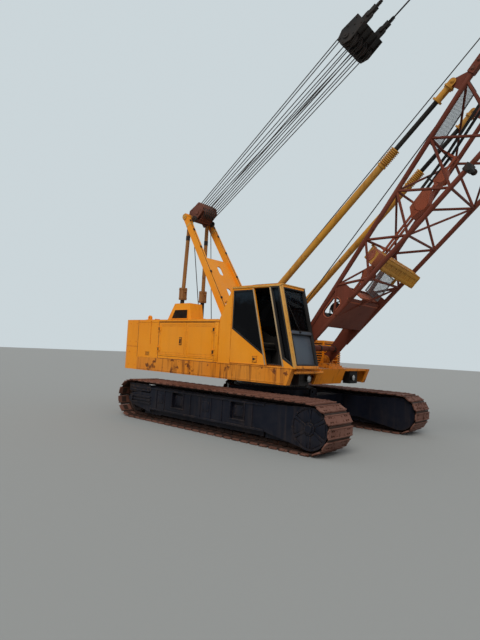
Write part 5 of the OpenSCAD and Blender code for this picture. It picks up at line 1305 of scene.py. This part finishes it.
fairing = [(-0.20, z) for z in (1.50, 1.80, 2.10)] + [(0.070, z) for z in (1.50, 1.85, 2.20, 2.55, 2.85)]
finished(side_bolts(-1, fairing, 0.008, 0.006), "cab_fairing_bolts", "upper", yellow)

# Inside of the cab
# Black vinyl lining and a ribbed rubber mat, levers with rubber boots, a gauge pod, a white washer
# bottle in the front corner, a grey lower panel and a visor behind the windshield.
lining_low, lining_high = 1.428, 2.953


def lining(front_low, front_high, window, y, inward):
    """A lining of a side wall from the rear to two front corners, with a window cut out of it."""
    outline = [(0.152, lining_low), (0.152, lining_high), (front_high, lining_high), (front_low, lining_low)]
    sheet = plate(outline, y + inward * 0.0035, 0.006, bevel=0)
    return cut(sheet, [plate(grown(window, 0.014), y, 0.1, bevel=0)])


linings = [lining(lean_x(front_x, lining_low) - 0.060, lean_x(front_x, lining_high) - 0.060, inner_window,
                  cab_inner_face - cab_wall, -1),
           lining(lean_x(0.515, lining_low), lean_x(0.515, lining_high), rear_quarter,
                  cab_face + cab_wall, 1)]
linings += boxes([((0.151, y0, z0), (0.157, y1, z1)) for y0, y1, z0, z1 in (
    (-1.532, -0.826, 1.430, 2.322), (-1.532, -0.826, 2.876, 2.952), (-1.532, -1.486, 2.322, 2.876),
    (-0.860, -0.826, 2.322, 2.876))], 0.001, 1)
linings.append(box((0.158, -1.532, 2.945), (1.295, -0.828, 2.954), 0.002))
linings.append(box((0.158, -1.532, 1.425), (1.690, -0.828, 1.433), 0.001, 1))
mat_ribs = [0.180 + 0.05 * k for k in range(30)]
linings += boxes([((x, -1.530, 1.433), (x + 0.010, -0.830, 1.436)) for x in mat_ribs])
finished(linings, "cab_lining", "upper", trim)
finished([on_front(pane_y0 + 0.010, pane_y1 - 0.010, 1.462, 2.030, -0.0440, -0.0395)],
         "windshield_lower_panel", "upper", rail_paint)
visor_finish = weathered("grey_visor_vinyl", (0.16, 0.165, 0.155, 1), (0.20, 0.20, 0.19, 1), spots=0.1,
                         streaks=0.2, edge_wear=0.2, dusting=0.3, gloss=0.6)
finished([on_front(pane_y0 + 0.010, pane_y1 - 0.010, 2.780, 2.935, -0.075, -0.068)], "cab_visor",
         "upper", visor_finish)
bottle_finish = weathered("white_bottle_plastic", (0.52, 0.56, 0.62, 1), (0.58, 0.60, 0.63, 1),
                          rust=(0.30, 0.28, 0.24, 1), spots=0.1, streaks=0.2, edge_wear=0.1, dusting=0.3,
                          gloss=0.35)
bottle = [box((1.545, -1.510, 1.434), (1.625, -1.390, 1.700), 0.018, 3),
          rod((1.585, -1.45, 1.695), (1.585, -1.45, 1.725), 0.022, 20)]
finished(bottle, "washer_bottle", "upper", bottle_finish)
lever_x = 1.327
controls = []
for k in range(4):
    y = -1.367 + 0.110 * k
    bpy.ops.object.select_all(action="DESELECT")
    bpy.ops.mesh.primitive_cone_add(vertices=24, radius1=0.042, radius2=0.016, depth=0.070,
                                    location=(lever_x, y, 1.880))
    controls.append(bpy.context.object)
    for j in range(4):
        fold = ring((0, 0, 0), 0.020 + 0.006 * j, circle(6, 0.006), 24)
        controls += moved([fold], turned_at((lever_x, y, 1.900 - 0.014 * j), math.pi / 2, "X"))
controls.append(box((1.365, -1.240, 1.840), (1.470, -0.980, 1.985), 0.015, 3))
switch_xs = [0.560 + 0.10 * k for k in range(4)]
controls += boxes([((x, -0.930, 1.985), (x + 0.040, -0.880, 2.000)) for x in switch_xs], 0.004)
controls += [rod((x + 0.055, -0.858, 1.985), (x + 0.055, -0.858, 2.012), 0.008) for x in switch_xs]
handle_y = -1.500
handle_x = 1.050 - 0.055
controls += [rod((lean_x(1.048, z), handle_y, z), (lean_x(handle_x, z), handle_y, z), 0.008)
             for z in (2.14, 2.26)]
handle_low, handle_high = [(lean_x(handle_x, z), handle_y, z) for z in (2.13, 2.27)]
controls.append(rod(handle_low, handle_high, 0.010))
finished(controls, "cab_controls", "upper", rubber)
dials = [rod((1.362, y, 1.925), (1.367, y, 1.925), 0.038, 32) for y in (-1.175, -1.045)]
finished(dials, "cab_dials", "upper", bottle_finish)

# Seat
# A foam pan and back under black vinyl on the seat's frame. The foam swells against its cover, the
# cover is pulled down in sewn channels, and a round piping closes it along its edge.
vinyl = weathered("black_seat_vinyl", (0.014, 0.014, 0.015, 1), (0.026, 0.025, 0.025, 1),
                  rust=(0.06, 0.05, 0.04, 1), spots=0.1, streaks=0.1, edge_wear=0.3, dusting=0.4,
                  gloss=0.50, bump=0.001)
swell_limit = 0.016
channel_depth = 0.007
channel_half = 0.010


def stuffed(size, place, channels, name):
    """A foam cushion swollen against its cover, with channels sewn across it, set at its place."""
    cushion = box([-length / 2 for length in size], [length / 2 for length in size], 0.030, 4)
    cushion.data.remesh_voxel_size = 0.006
    pick([cushion])
    bpy.ops.object.voxel_remesh()
    start = [vertex.co.copy() for vertex in cushion.data.vertices]
    cloth = cushion.modifiers.new("cover", "CLOTH")
    cloth.settings.use_pressure = True
    cloth.settings.uniform_pressure_force = 4
    cloth.settings.effector_weights.gravity = 0
    for step in range(1, 21):
        scene.frame_set(step)
    bpy.ops.object.modifier_apply(modifier="cover")
    scene.frame_set(1)
    for vertex, before in zip(cushion.data.vertices, start):
        swell = vertex.co - before
        if swell.length > swell_limit:
            vertex.co = before + swell.normalized() * swell_limit
    # the wide faces look along Z here
    for vertex in cushion.data.vertices:
        away = min(abs(vertex.co.x - x) for x in channels)
        pull = channel_depth * math.exp(-(away / channel_half) ** 2)
        if abs(vertex.co.z) > size[2] * 0.25:
            vertex.co.z -= math.copysign(pull, vertex.co.z)
    smoother = cushion.modifiers.new("finer", "SUBSURF")
    smoother.levels = 1
    smoother.render_levels = 1
    bpy.ops.object.modifier_apply(modifier="finer")
    cushion.data.transform(place)
    cushion.name = name
    settle(cushion, "upper", vinyl, 60)
    return cushion


def piping(size, place):
    """A round cord sewn round a cushion's edge."""
    corner = 0.045
    path = [(sx * (size[0] / 2 - corner) + a, sy * (size[1] / 2 - corner) + b, size[2] * 0.36)
            for k, (sx, sy) in enumerate(((1, 1), (-1, 1), (-1, -1), (1, -1)))
            for a, b in circle(5, corner, math.pi / 2 * k, math.pi / 8)]
    return moved(tube(path, 0.0045, 8, True), place)


pan_size, back_size = (0.394, 0.424, 0.084), (0.524, 0.404, 0.074)
pan_place = Matrix.Translation((0.655, -1.197, 1.797))
back_place = turned_at((0.415, -1.197, 1.865), math.radians(-8))
back_place = back_place @ turned_at((0.050, 0, 0.280), math.radians(-90)) @ Matrix.Rotation(math.pi, 4, "X")
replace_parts(stuffed(pan_size, pan_place, (-0.12, 0.0, 0.12), "seat_pan_cushion"), "seat_cushions")
stuffed(back_size, back_place, (-0.15, -0.03, 0.09), "seat_back_cushion")
cords = piping(pan_size, pan_place) + piping(back_size, back_place)
finished(cords, "seat_piping", "upper", rubber)

# Gantry fittings
# Capped ends on the top shaft, clips for a lamp cable along the front legs, a dark bar under the
# panel, bolted clamps and dark inner tubes on the telescoping rear legs.
leg_bottom = Vector((-0.500, 0, 1.600))
leg_length = 4.272
leg_way = (gantry_shaft - leg_bottom).normalized()
leg_out = Vector((leg_way.z, 0, -leg_way.x))
leg_turn = axes(leg_out, (0, 1, 0), leg_way)
caps = []
clips = []
clamps = []
inner_tubes = []


def on_leg(share, side):
    """Place on the middle of a front leg at a share of its length."""
    return leg_bottom + leg_way * leg_length * share + Vector((0, side * (0.545 - 0.095 * share), 0))


for side in (-1, 1):
    caps += [cross_rod(gantry_shaft, side * y0, side * y1, radius, 32)
             for y0, y1, radius in ((0.512, 0.531, 0.078), (0.531, 0.540, 0.030))]
    caps += bolt_heads([gantry_shaft + Vector((a, side * 0.531, b)) for a, b in circle(6, 0.055)],
                       (0, side, 0), 0.010, 0.008)
    for share in (0.12, 0.36, 0.55, 0.74, 0.88, 0.955):
        clip = box((0.074, -0.030, -0.026), (0.112, 0.012, 0.026), 0.006)
        clips += moved([clip], Matrix.Translation(on_leg(share, side)) @ leg_turn)
    cable = [on_leg(share, side) + leg_out * 0.084 - Vector((0, 0.008, 0)) for share in (0.06, 0.955)]
    clips += tube(cable, 0.006)
    for share in (0.10, 0.93):
        band = box((-0.081, -0.063, -0.030), (0.081, 0.063, 0.030), 0.003)
        caps += moved([band], Matrix.Translation(on_leg(share, side)) @ leg_turn)
    rear_foot, rear_top = Vector((-2.900, side * 0.405, 1.400)), Vector((-2.800, side * 0.330, 5.200))
    rear_way = (rear_top - rear_foot).normalized()
    sleeve = rear_foot + (rear_top - rear_foot) * 0.45
    for dz in (-0.125, 0.120):
        clamp = [box((-0.079, -0.079, dz - 0.020), (0.079, 0.079, dz + 0.020), 0.006)]
        clamp += bolt_heads([(a, -0.080, dz) for a in (-0.055, 0.055)], (0, -1, 0), 0.013, 0.012)
        clamp += bolt_heads([(0.080, a, dz) for a in (-0.055, 0.055)], (1, 0, 0), 0.013, 0.012)
        clamps += moved(clamp, Matrix.Translation(sleeve))
    clamps.append(rod(sleeve + Vector((-0.120, 0, 0.06)), sleeve + Vector((0.120, 0, 0.06)), 0.018, 16))
    inner_tubes.append(rod(rear_foot + rear_way * 0.13, sleeve - rear_way * 0.160, 0.0545, 32))
    inner_tubes.append(rod(rear_top - rear_way * 0.62, rear_top - rear_way * 0.50, 0.0565, 32))
    inner_tubes += bolt_heads([(-2.900 + a, side * 0.405 + b, 1.490) for a in (-0.085, 0.085)
                               for b in (-0.055, 0.055)], upwards, 0.014, 0.012)
inner_tubes.append(cross_rod((-1.3086, 0, 2.850), -0.30, 0.30, 0.0375, 32))
finished(caps, "gantry_leg_bands", "upper", pillar_paint)
finished(clips, "gantry_leg_clips", "upper", black)
finished(clamps, "gantry_leg_clamps", "upper", tan_paint)
finished(inner_tubes, "gantry_inner_tubes", "upper", black)
head_parts = [box((0.120, -0.255, 0.222), (0.440, 0.255, 0.232), 0.004),
              box((0.10, -0.262, -0.168), (0.16, 0.262, -0.120), 0.006),
              box((0.452, -0.255, 0.020), (0.470, 0.255, 0.190), 0.004)]
head_bolts = ((0.16, 0.19), (0.42, 0.16), (0.05, 0.12), (0.40, -0.02), (0.14, -0.10))
for side in (-1, 1):
    head_parts.append(cross_rod((0.270, 0, 0), side * 0.272, side * 0.296, 0.062, 32))
    head_parts.append(cross_rod((0.430, 0, -0.070), side * 0.255, side * 0.285, 0.030, 20))
    head_parts += bolt_heads([(x, side * 0.275, z) for x, z in head_bolts], (0, side, 0), 0.015, 0.012)
moved(head_parts, turned_at(gantry_shaft, -head_tilt))
finished(head_parts, "gantry_head_fittings", "upper", dark_red)

# Boom fittings
# Pins with washers join the sections' chords. Between the foot plates sits a drive drum with its
# hose and brackets, a rope roller rides on a lower chord, and dark tubes lead the tagline on.
boom_turn = turned_at(boom_foot, -boom_lean)
section_length = 6.1


def boom_box(low, high, bevel=0.004):
    """A block in the boom's own directions: along it, to its left and above its middle."""
    return moved([box(low, high, bevel)], boom_turn)[0]


def boom_tube(points, y, radius, sides=8, closed=False):
    """A tube along the boom through pairs of S and N."""
    return tube([on_boom(s, y, n) for s, n in points], radius, sides, closed)


pins = []
for joint in (section_length, 2 * section_length):
    for s in (joint - 0.075, joint + 0.075):
        for y in (-0.68, 0.68):
            side = math.copysign(1, y)
            for n in (-0.57, 0.57):
                pins.append(boom_rod(s, n, y - 0.078, y + 0.078, 0.024, 20))
                pins.append(boom_rod(s, n, y + side * 0.059, y + side * 0.066, 0.040))
                pins += boom_tube([(s - 0.035, n), (s + 0.035, n)], y + side * 0.071, 0.004)
finished(pins, "boom_section_pins", "boom", dark_red)
drum_s = 1.375
drive = [boom_rod(drum_s, 0.0, -0.52, 0.52, 0.078, 40), boom_rod(1.20, 0.02, -0.60, 0.60, 0.024, 20),
         boom_rod(1.56, -0.01, -0.60, 0.60, 0.020, 20)]
drive += [boom_rod(drum_s, 0.0, y - 0.012, y + 0.012, 0.112, 40) for y in (-0.52, -0.30, -0.05, 0.24, 0.52)]
drive += [boom_box((1.26, y - 0.010, -0.166), (1.49, y + 0.010, -0.06)) for y in (-0.40, 0.40)]
drive.append(boom_box((1.12, -0.615, -0.05), (1.19, -0.56, 0.09), 0.01))
drive.append(boom_box((1.55, -0.625, 0.03), (1.66, -0.55, 0.13), 0.012))
drive += [boom_rod(drum_s + a, b, -0.541, -0.530, 0.012, 6) for a, b in circle(8, 0.088)]
hose = [on_boom(1.10 + 0.05 * k, -0.50 + 0.03 * k, 0.20 - 0.012 * (k - 5) ** 2) for k in range(12)]
drive += tube(hose, 0.013)
drive += [boom_rod(0.33, 0, y - 0.02, y + 0.02, 0.072, 32) for y in (-0.58, 0.0, 0.58)]
drive += [boom_rod(4.70, -0.515, y0, y1, radius) for y0, y1, radius in (
    (-0.84, -0.54, 0.034), (-0.85, -0.82, 0.056), (-0.56, -0.53, 0.056))]
drive.append(boom_box((4.63, -0.735, -0.530), (4.77, -0.625, -0.395), 0.008))
for y in (-0.055, 0.115):
    drive += boom_tube([(4.05, 0.335), (4.85, 0.345), (6.05, 0.455)], y, 0.027, 16)
drive += [boom_box((s - 0.015, -0.10, n), (s + 0.015, 0.16, n + 0.016), 0.003)
          for s, n in ((4.30, 0.365), (4.80, 0.375), (5.78, 0.452))]
finished(drive, "boom_drive_and_leads", "boom", black)
foot_parts = []
slot_end = 0.108
arc_step = math.pi / 12
slot_rim = [(1.25 + a, b) for a, b in circle(13, slot_end, math.pi / 2, arc_step)]
slot_rim += [(1.50 + a, b) for a, b in circle(13, slot_end, -math.pi / 2, arc_step)]
for side in (-1, 1):
    face = side * 0.680
    foot_parts += bolt_heads([on_boom(s, face, n) for s, n in (
        (0.62, 0.10), (0.62, -0.10), (1.72, 0.16), (1.72, -0.16), (1.05, 0.13), (1.05, -0.13))], (0, side, 0))
    foot_parts.append(boom_rod(0.0, 0.0, face - side * 0.004, side * 0.706, 0.105, 40))
    foot_parts += boom_tube(slot_rim, face, 0.010, 8, True)
    for above in (-1, 1):
        foot_parts += boom_tube([(0.60, above * 0.112), (1.90, above * 0.198)], face, 0.012, 10)
foot_parts.append(boom_box((1.66, -0.62, -0.195), (1.69, 0.62, -0.03)))
foot_parts.append(boom_box((1.80, -0.30, -0.20), (1.83, 0.36, 0.02)))
finished(foot_parts, "boom_foot_fittings", "boom", bright_red)
guide_parts = []
guide_n = 0.142
for s, radius in ((2.20, 0.105), (3.85, 0.125), (4.40, 0.085)):
    guide_parts.append(boom_rod(s, guide_n - 0.01, -0.100, 0.110, 0.026, 20))
    guide_parts += [boom_rod(s, guide_n - 0.01, y - 0.006, y + 0.006, radius, 36) for y in (-0.097, 0.107)]
    guide_parts += [boom_rod(s + a, guide_n + b, -0.099, -0.090, 0.011, 6)
                    for a, b in ((-0.13, 0.03), (0.12, 0.04), (0.0, -0.05), (0.02, 0.075))]
finished(guide_parts, "tagline_guide_bolts", "boom", bright_red)

# Mesh panels of the boom
# A panel of expanded steel mesh in an angle frame lies on the butt's upper lacing as a foothold, and
# a smaller one stands across it near the foot plates.
mesh_finish = weathered("grey_mesh_steel", (0.20, 0.21, 0.22, 1), (0.27, 0.28, 0.29, 1),
                        rust=(0.12, 0.07, 0.05, 1), metallic=0.2, spots=0.25, streaks=0.2, edge_wear=0.4,
                        dusting=0.3, gloss=0.5, spot_scale=9.0)
mesh_step = 0.019 * 1.4
mesh_slant = math.tan(math.radians(62))
angle_wide = 0.022


def mesh_panel(length, width):
    """Expanded mesh in its frame, from the origin along X and Y."""
    made = boxes([((0, y, -0.010), (length, y + angle_wide, 0.010))
                  for y in (0, width - angle_wide)], 0.002, 1)
    made += boxes([((x, 0.001, -0.0095), (x + angle_wide, width - 0.001, 0.0095))
                   for x in (0, length - angle_wide)], 0.002, 1)
    reach = width / mesh_slant
    for lean in (-1, 1):
        for k in range(int((length + 2 * reach) / mesh_step)):
            xa = k * mesh_step - reach
            ya, yb = (0, width) if lean > 0 else (width, 0)
            low, high = max(0, -xa / reach), min(1, (length - xa) / reach)
            if high - low > 0.02:
                ends = [(xa + reach * share, ya + (yb - ya) * share, 0.002 * lean) for share in (low, high)]
                made.append(rod(*ends, 0.0042, 4))
    return made


foothold_s = 4.755
chord_rise = 0.510
chord_taper = math.atan2(chord_rise, section_length)
foothold_n = 0.060 + chord_rise * foothold_s / section_length
foothold_place = boom_turn @ turned_at((foothold_s, -0.595, foothold_n), -chord_taper)
foothold_place = foothold_place @ Matrix.Translation((0, 0, 0.0365))
foothold = finished(moved(mesh_panel(1.135, 0.450), foothold_place), "boom_foothold_mesh", "boom",
                    mesh_finish)
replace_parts(foothold, "boom_walkway")
screen_place = boom_turn @ turned_at((1.840, 0.330, -0.225), math.radians(84), "X")
finished(moved(mesh_panel(0.560, 0.400), screen_place), "boom_screen_mesh", "boom", mesh_finish)

# Tagline winder
# Pressed side channels run along the ochre drum box between its ribs. Red caps close its ends, with
# bolts on the left and a spring housing on the right, and a dark fairlead lets the tagline out.
winder_place = boom_turn @ turned_at((2.605, 0, -0.170), math.radians(-32.6), "X")
channels = boxes([((x0, -0.530, z0), (x1, 0.530, z1)) for x0, x1, z0, z1 in (
    (-0.136, -0.120, 0.120, 0.190), (-0.136, -0.120, -0.190, -0.120), (-0.136, -0.120, -0.030, 0.030),
    (0.120, 0.136, 0.120, 0.190), (0.120, 0.136, -0.190, -0.120), (-0.110, -0.050, 0.182, 0.198),
    (0.050, 0.110, 0.182, 0.198), (-0.110, -0.050, -0.198, -0.182), (0.050, 0.110, -0.198, -0.182))], 0.005)
channels += bolt_heads([(-0.136, -0.48 + 0.12 * k, z) for k in range(9) for z in (0.155, -0.155)], (-1, 0, 0),
                       0.010, 0.008)
housing = [cross_rod((0, 0, 0), y0, y1, radius, 40)
           for y0, y1, radius in ((0.528, 0.546, 0.118), (-0.546, -0.528, 0.118), (0.546, 0.552, 0.05))]
housing += bolt_heads([(a, 0.546, b) for a, b in circle(8, 0.095)], (0, 1, 0), 0.011, 0.008)
housing.append(box((-0.138, -0.531, -0.199), (0.138, -0.400, 0.199), 0.006))
fairlead = [cross_rod((x, 0, 0.205), -0.06, 0.06, 0.012, 16) for x in (-0.03, 0.03)]
finished(moved(channels, winder_place), "tagline_winder_channels", "boom", ochre)
finished(moved(housing, winder_place), "tagline_winder_housing", "boom", bright_red)
finished(moved(fairlead, winder_place), "tagline_winder_fairlead", "boom", black)

# Boom stops
# Ochre rods with a greased black part slide in the stops' tubes. The forks' pins have washers, and
# bolts hold the collars.


def recoloured_below(finish, direction, limit, colours):
    """Gives a finish other colours where a place lies less far along a direction than a limit."""
    tree = finish.node_tree
    worn = [node for node in tree.nodes if node.type == "GROUP"][0]
    reach = tree.nodes.new("ShaderNodeVectorMath")
    reach.operation = "DOT_PRODUCT"
    reach.inputs[1].default_value = direction
    tree.links.new(tree.nodes.new("ShaderNodeTexCoord").outputs["Object"], reach.inputs[0])
    share = ramp(tree, reach.outputs["Value"], limit - 0.002, limit + 0.002, 1.0, 0.0)
    for socket, (above, below) in colours.items():
        tree.links.new(mix_colour(tree, share, above, below), worn.inputs[socket])


def washers_and_pins(centre, inner, outer, pin_inner, pin_outer, pin_r, pin_sides):
    """A washer and a pin's end on either side of a centre."""
    made = [cross_rod(centre, e * inner, e * outer, 0.036, 24) for e in (-1, 1)]
    return made + [cross_rod(centre, e * pin_inner, e * pin_outer, pin_r, pin_sides) for e in (-1, 1)]


rod_paint, rod_faded, rod_rust = (0.56, 0.25, 0.022, 1), (0.46, 0.225, 0.045, 1), (0.10, 0.032, 0.014, 1)
for side, side_name in ((-1, "right"), (1, "left")):
    stop_foot = Vector((-0.950, side * 0.690, 1.600))
    stop_top = on_boom(5.745, side * 0.620, 0.790)
    stop_way = (stop_top - stop_foot).normalized()
    up = Vector((-stop_way.z, 0, stop_way.x)).normalized()
    spin = stop_way.cross(up)
    rod_finish = weathered("stop_rod_paint_" + side_name, rod_paint, rod_faded, rust=rod_rust, spots=0.50,
                           streaks=0.5, edge_wear=0.9, dusting=0.3, gloss=0.40, spot_scale=6.0)
    # the greased part ends at the collar
    recoloured_below(rod_finish, stop_way, stop_top.dot(stop_way) - 0.384, {
        "Paint": (rod_paint, (0.010, 0.009, 0.009, 1)),
        "Faded": (rod_faded, (0.018, 0.016, 0.015, 1)),
        "Rust": (rod_rust, (0.022, 0.013, 0.009, 1))})
    dress(("stop_rod_" + side_name,), rod_finish)
    fork = washers_and_pins(stop_top, 0.050, 0.064, 0.060, 0.074, 0.021, 20)
    for away in (0.365, 0.095):
        centre = stop_top - stop_way * away
        fork += bolt_heads([centre + up * a + spin * b for a, b in circle(6, 0.077, math.pi / 6)], stop_way,
                           0.009, 0.020)
    finished(fork, "stop_fork_fittings_" + side_name, "stop_rod_" + side_name, ochre)
    tube_parts = [rod(stop_foot + stop_way * along, stop_foot + stop_way * (along + length), radius, 40)
                  for along, length, radius in ((0.17, 0.05, 0.082), (5.285, 0.045, 0.086),
                                                (1.75, 0.018, 0.0735), (3.50, 0.018, 0.0735))]
    nipple = stop_foot + stop_way * 0.60
    tube_parts.append(rod(nipple + up * 0.066, nipple + up * 0.088, 0.010, 10))
    finished(tube_parts, "stop_tube_bands_" + side_name, "stop_tube_" + side_name, ochre)
    finished(washers_and_pins(stop_foot, 0.041, 0.0475, 0.046, 0.060, 0.020, 16),
             "stop_foot_washers_" + side_name, "upper", dark_red)

# Bail, pendants and hook block
# Through bolts and grease caps close the bail's cheeks, swaged sockets end the pendants, and the
# hook block has a nut on its pin, side bolts, a painted frame and a bare steel hook with a latch.
bail_parts = []
bail_bolts = ((5.27, 0.06), (5.27, -0.06), (5.53, 0.12), (5.53, -0.11), (5.76, 0.11), (5.76, -0.09),
              (5.65, 0.02))
for side in (-1, 1):
    face = side * 0.422
    cap_face = face + side * 0.026
    bail_parts.append(rod((bail_reach, face, 0), (bail_reach, cap_face, 0), 0.066, 32))
    bail_parts.append(rod((bail_reach, cap_face, 0), (bail_reach, cap_face + side * 0.010, 0), 0.022))
    bail_parts += bolt_heads([(x, face, z) for x, z in bail_bolts], (0, side, 0), 0.016, 0.014)
bail_parts += [cross_rod((5.520, 0, z), -0.415, 0.415, 0.020, 16) for z in (-0.116, 0.1376)]
for y in (-0.3075, -0.1025, 0.1025, 0.3075):
    guard = circle(8, 0.200, math.radians(250), math.radians(10))
    bail_parts += tube([(bail_reach + a, y, b) for a, b in guard], 0.017)
for y in (-0.300, 0.300):
    bail_parts += [cross_rod((5.950, y, 0), e * 0.054, e * 0.066, 0.044, 24) for e in (-1, 1)]
    bail_parts += [rod((x, y, 0), (x + 0.016, y, 0), 0.040, 20) for x in [6.130 + 0.03 * k for k in range(4)]]
finished(moved(bail_parts, turned_at(gantry_sheaves, -luff_angle)), "bail_and_socket_fittings", "boom",
         black)
block_centre = Vector((13.057, 0, 12.838))
block_parts = []
block_bolts = ((-0.10, -0.27), (0.10, -0.27), (-0.09, 0.16), (0.09, 0.16), (-0.16, 0), (0.16, 0))
for side in (-1, 1):
    block_parts.append(cross_rod((0, 0, 0), side * 0.238, side * 0.246, 0.060, 6))
    block_parts += bolt_heads([(x, side * 0.222, z) for x, z in block_bolts], (0, side, 0), 0.018, 0.014)
    y0, y1 = outward(side, 0.222, 0.232)
    block_parts.append(box((-0.100, y0, -0.300), (0.100, y1, -0.225), 0.005))
finished(moved(block_parts, Matrix.Translation(block_centre)), "hook_block_fittings", "hook",
         hook_paint)
# below the block's foot the hook is bare steel
recoloured_below(hook_paint, upwards, block_centre.z - 0.364, {
    "Paint": ((0.66, 0.33, 0.02, 1), (0.060, 0.045, 0.038, 1)),
    "Faded": ((0.62, 0.36, 0.06, 1), (0.10, 0.07, 0.055, 1))})
latch_foot = block_centre + Vector((-0.105, 0, -0.610))
latch_parts = [cross_rod(latch_foot, -0.045, 0.045, 0.012, 16),
               rod(latch_foot, latch_foot + Vector((0.180, 0, -0.020)), 0.011),
               rod(block_centre - Vector((0, 0, 0.385)), block_centre - Vector((0, 0, 0.362)), 0.085, 6)]
finished(latch_parts, "hook_latch", "hook", link_mud_and_lip_shade_finish)

# Fuel tank, swing ring and car body fittings
# The tank is a ribbed sheet steel box with a locked cap, a gauge and two straps; black sheets behind
# its ribs are painted shade in the gaps between them. Bolts ring the slewing bearing, and the dark car
# body has covers, ribs and hoses to the track motors.
tank_ribs = []
for z in [1.440 + 0.056 * k for k in range(10)]:
    tank_ribs += boxes([((0.897, 0.820, z - 0.014), (0.930, 1.540, z + 0.014)),
                        ((-0.17, 0.766, z - 0.014), (0.87, 0.797, z + 0.014))], 0.005)
for x in (0.05, 0.62):
    tank_ribs += boxes([((x - 0.025, 0.788, 1.996), (x + 0.025, 1.566, 2.004)),
                        ((x - 0.025, 1.558, 1.380), (x + 0.025, 1.566, 2.002))], 0.001, 1)
    tank_ribs += bolt_heads([(x, 1.566, 1.44)], (0, 1, 0), 0.014, 0.018)
finished(tank_ribs, "fuel_tank_ribs", "upper", yellow_low)
# black sheets behind the ribs are painted shade in the gaps between them; the cap and gauge are black parts
tank_cap_gauge_and_rib_shade = boxes([((0.899, 0.830, 1.420), (0.903, 1.530, 1.970)),
                   ((-0.16, 0.791, 1.420), (0.86, 0.796, 1.970))], 0.001, 1)
tank_cap_gauge_and_rib_shade += [rod((0.34, 1.30, 1.995), (0.34, 1.30, 2.045), 0.055, 32),
              rod((0.34, 1.30, 2.045), (0.34, 1.30, 2.056), 0.034, 6),
              rod((0.30, 1.565, 1.50), (0.30, 1.565, 1.88), 0.010)]
finished(tank_cap_gauge_and_rib_shade, "fuel_tank_cap_gauge_and_rib_shade", "upper", black)
ring_bolts = bolt_heads([(a, b, 0.930) for a, b in circle(48, 0.832)], upwards, 0.013, 0.016)
finished(ring_bolts, "swing_ring_bolts", "undercarriage", ring_steel)
body_parts = []
for x in (-0.85, 0.85):
    out = math.copysign(1, x)
    x0, x1 = sorted((x + out * 0.199, x + out * 0.212))
    for y in (-0.95, 0.95):
        body_parts.append(box((x0, y - 0.13, 0.36), (x1, y + 0.13, 0.62), 0.004))
        body_parts += bolt_heads([(x + out * 0.211, y + a, b) for a in (-0.10, 0.10) for b in (0.39, 0.59)],
                                 (out, 0, 0), 0.012, 0.010)
    body_parts += boxes([((x - 0.19, y - 0.006, 0.754), (x + 0.19, y + 0.006, 0.800))
                         for y in (-1.35, 1.35)], 0.002, 1)
for side in (-1, 1):
    hose = [(0.40, side * 0.55, 0.86), (0.95, side * 1.05, 0.79), (1.02, side * 1.46, 0.70)]
    body_parts += tube(hose, 0.014, 10)
finished(body_parts, "car_body_fittings", "undercarriage", navy)
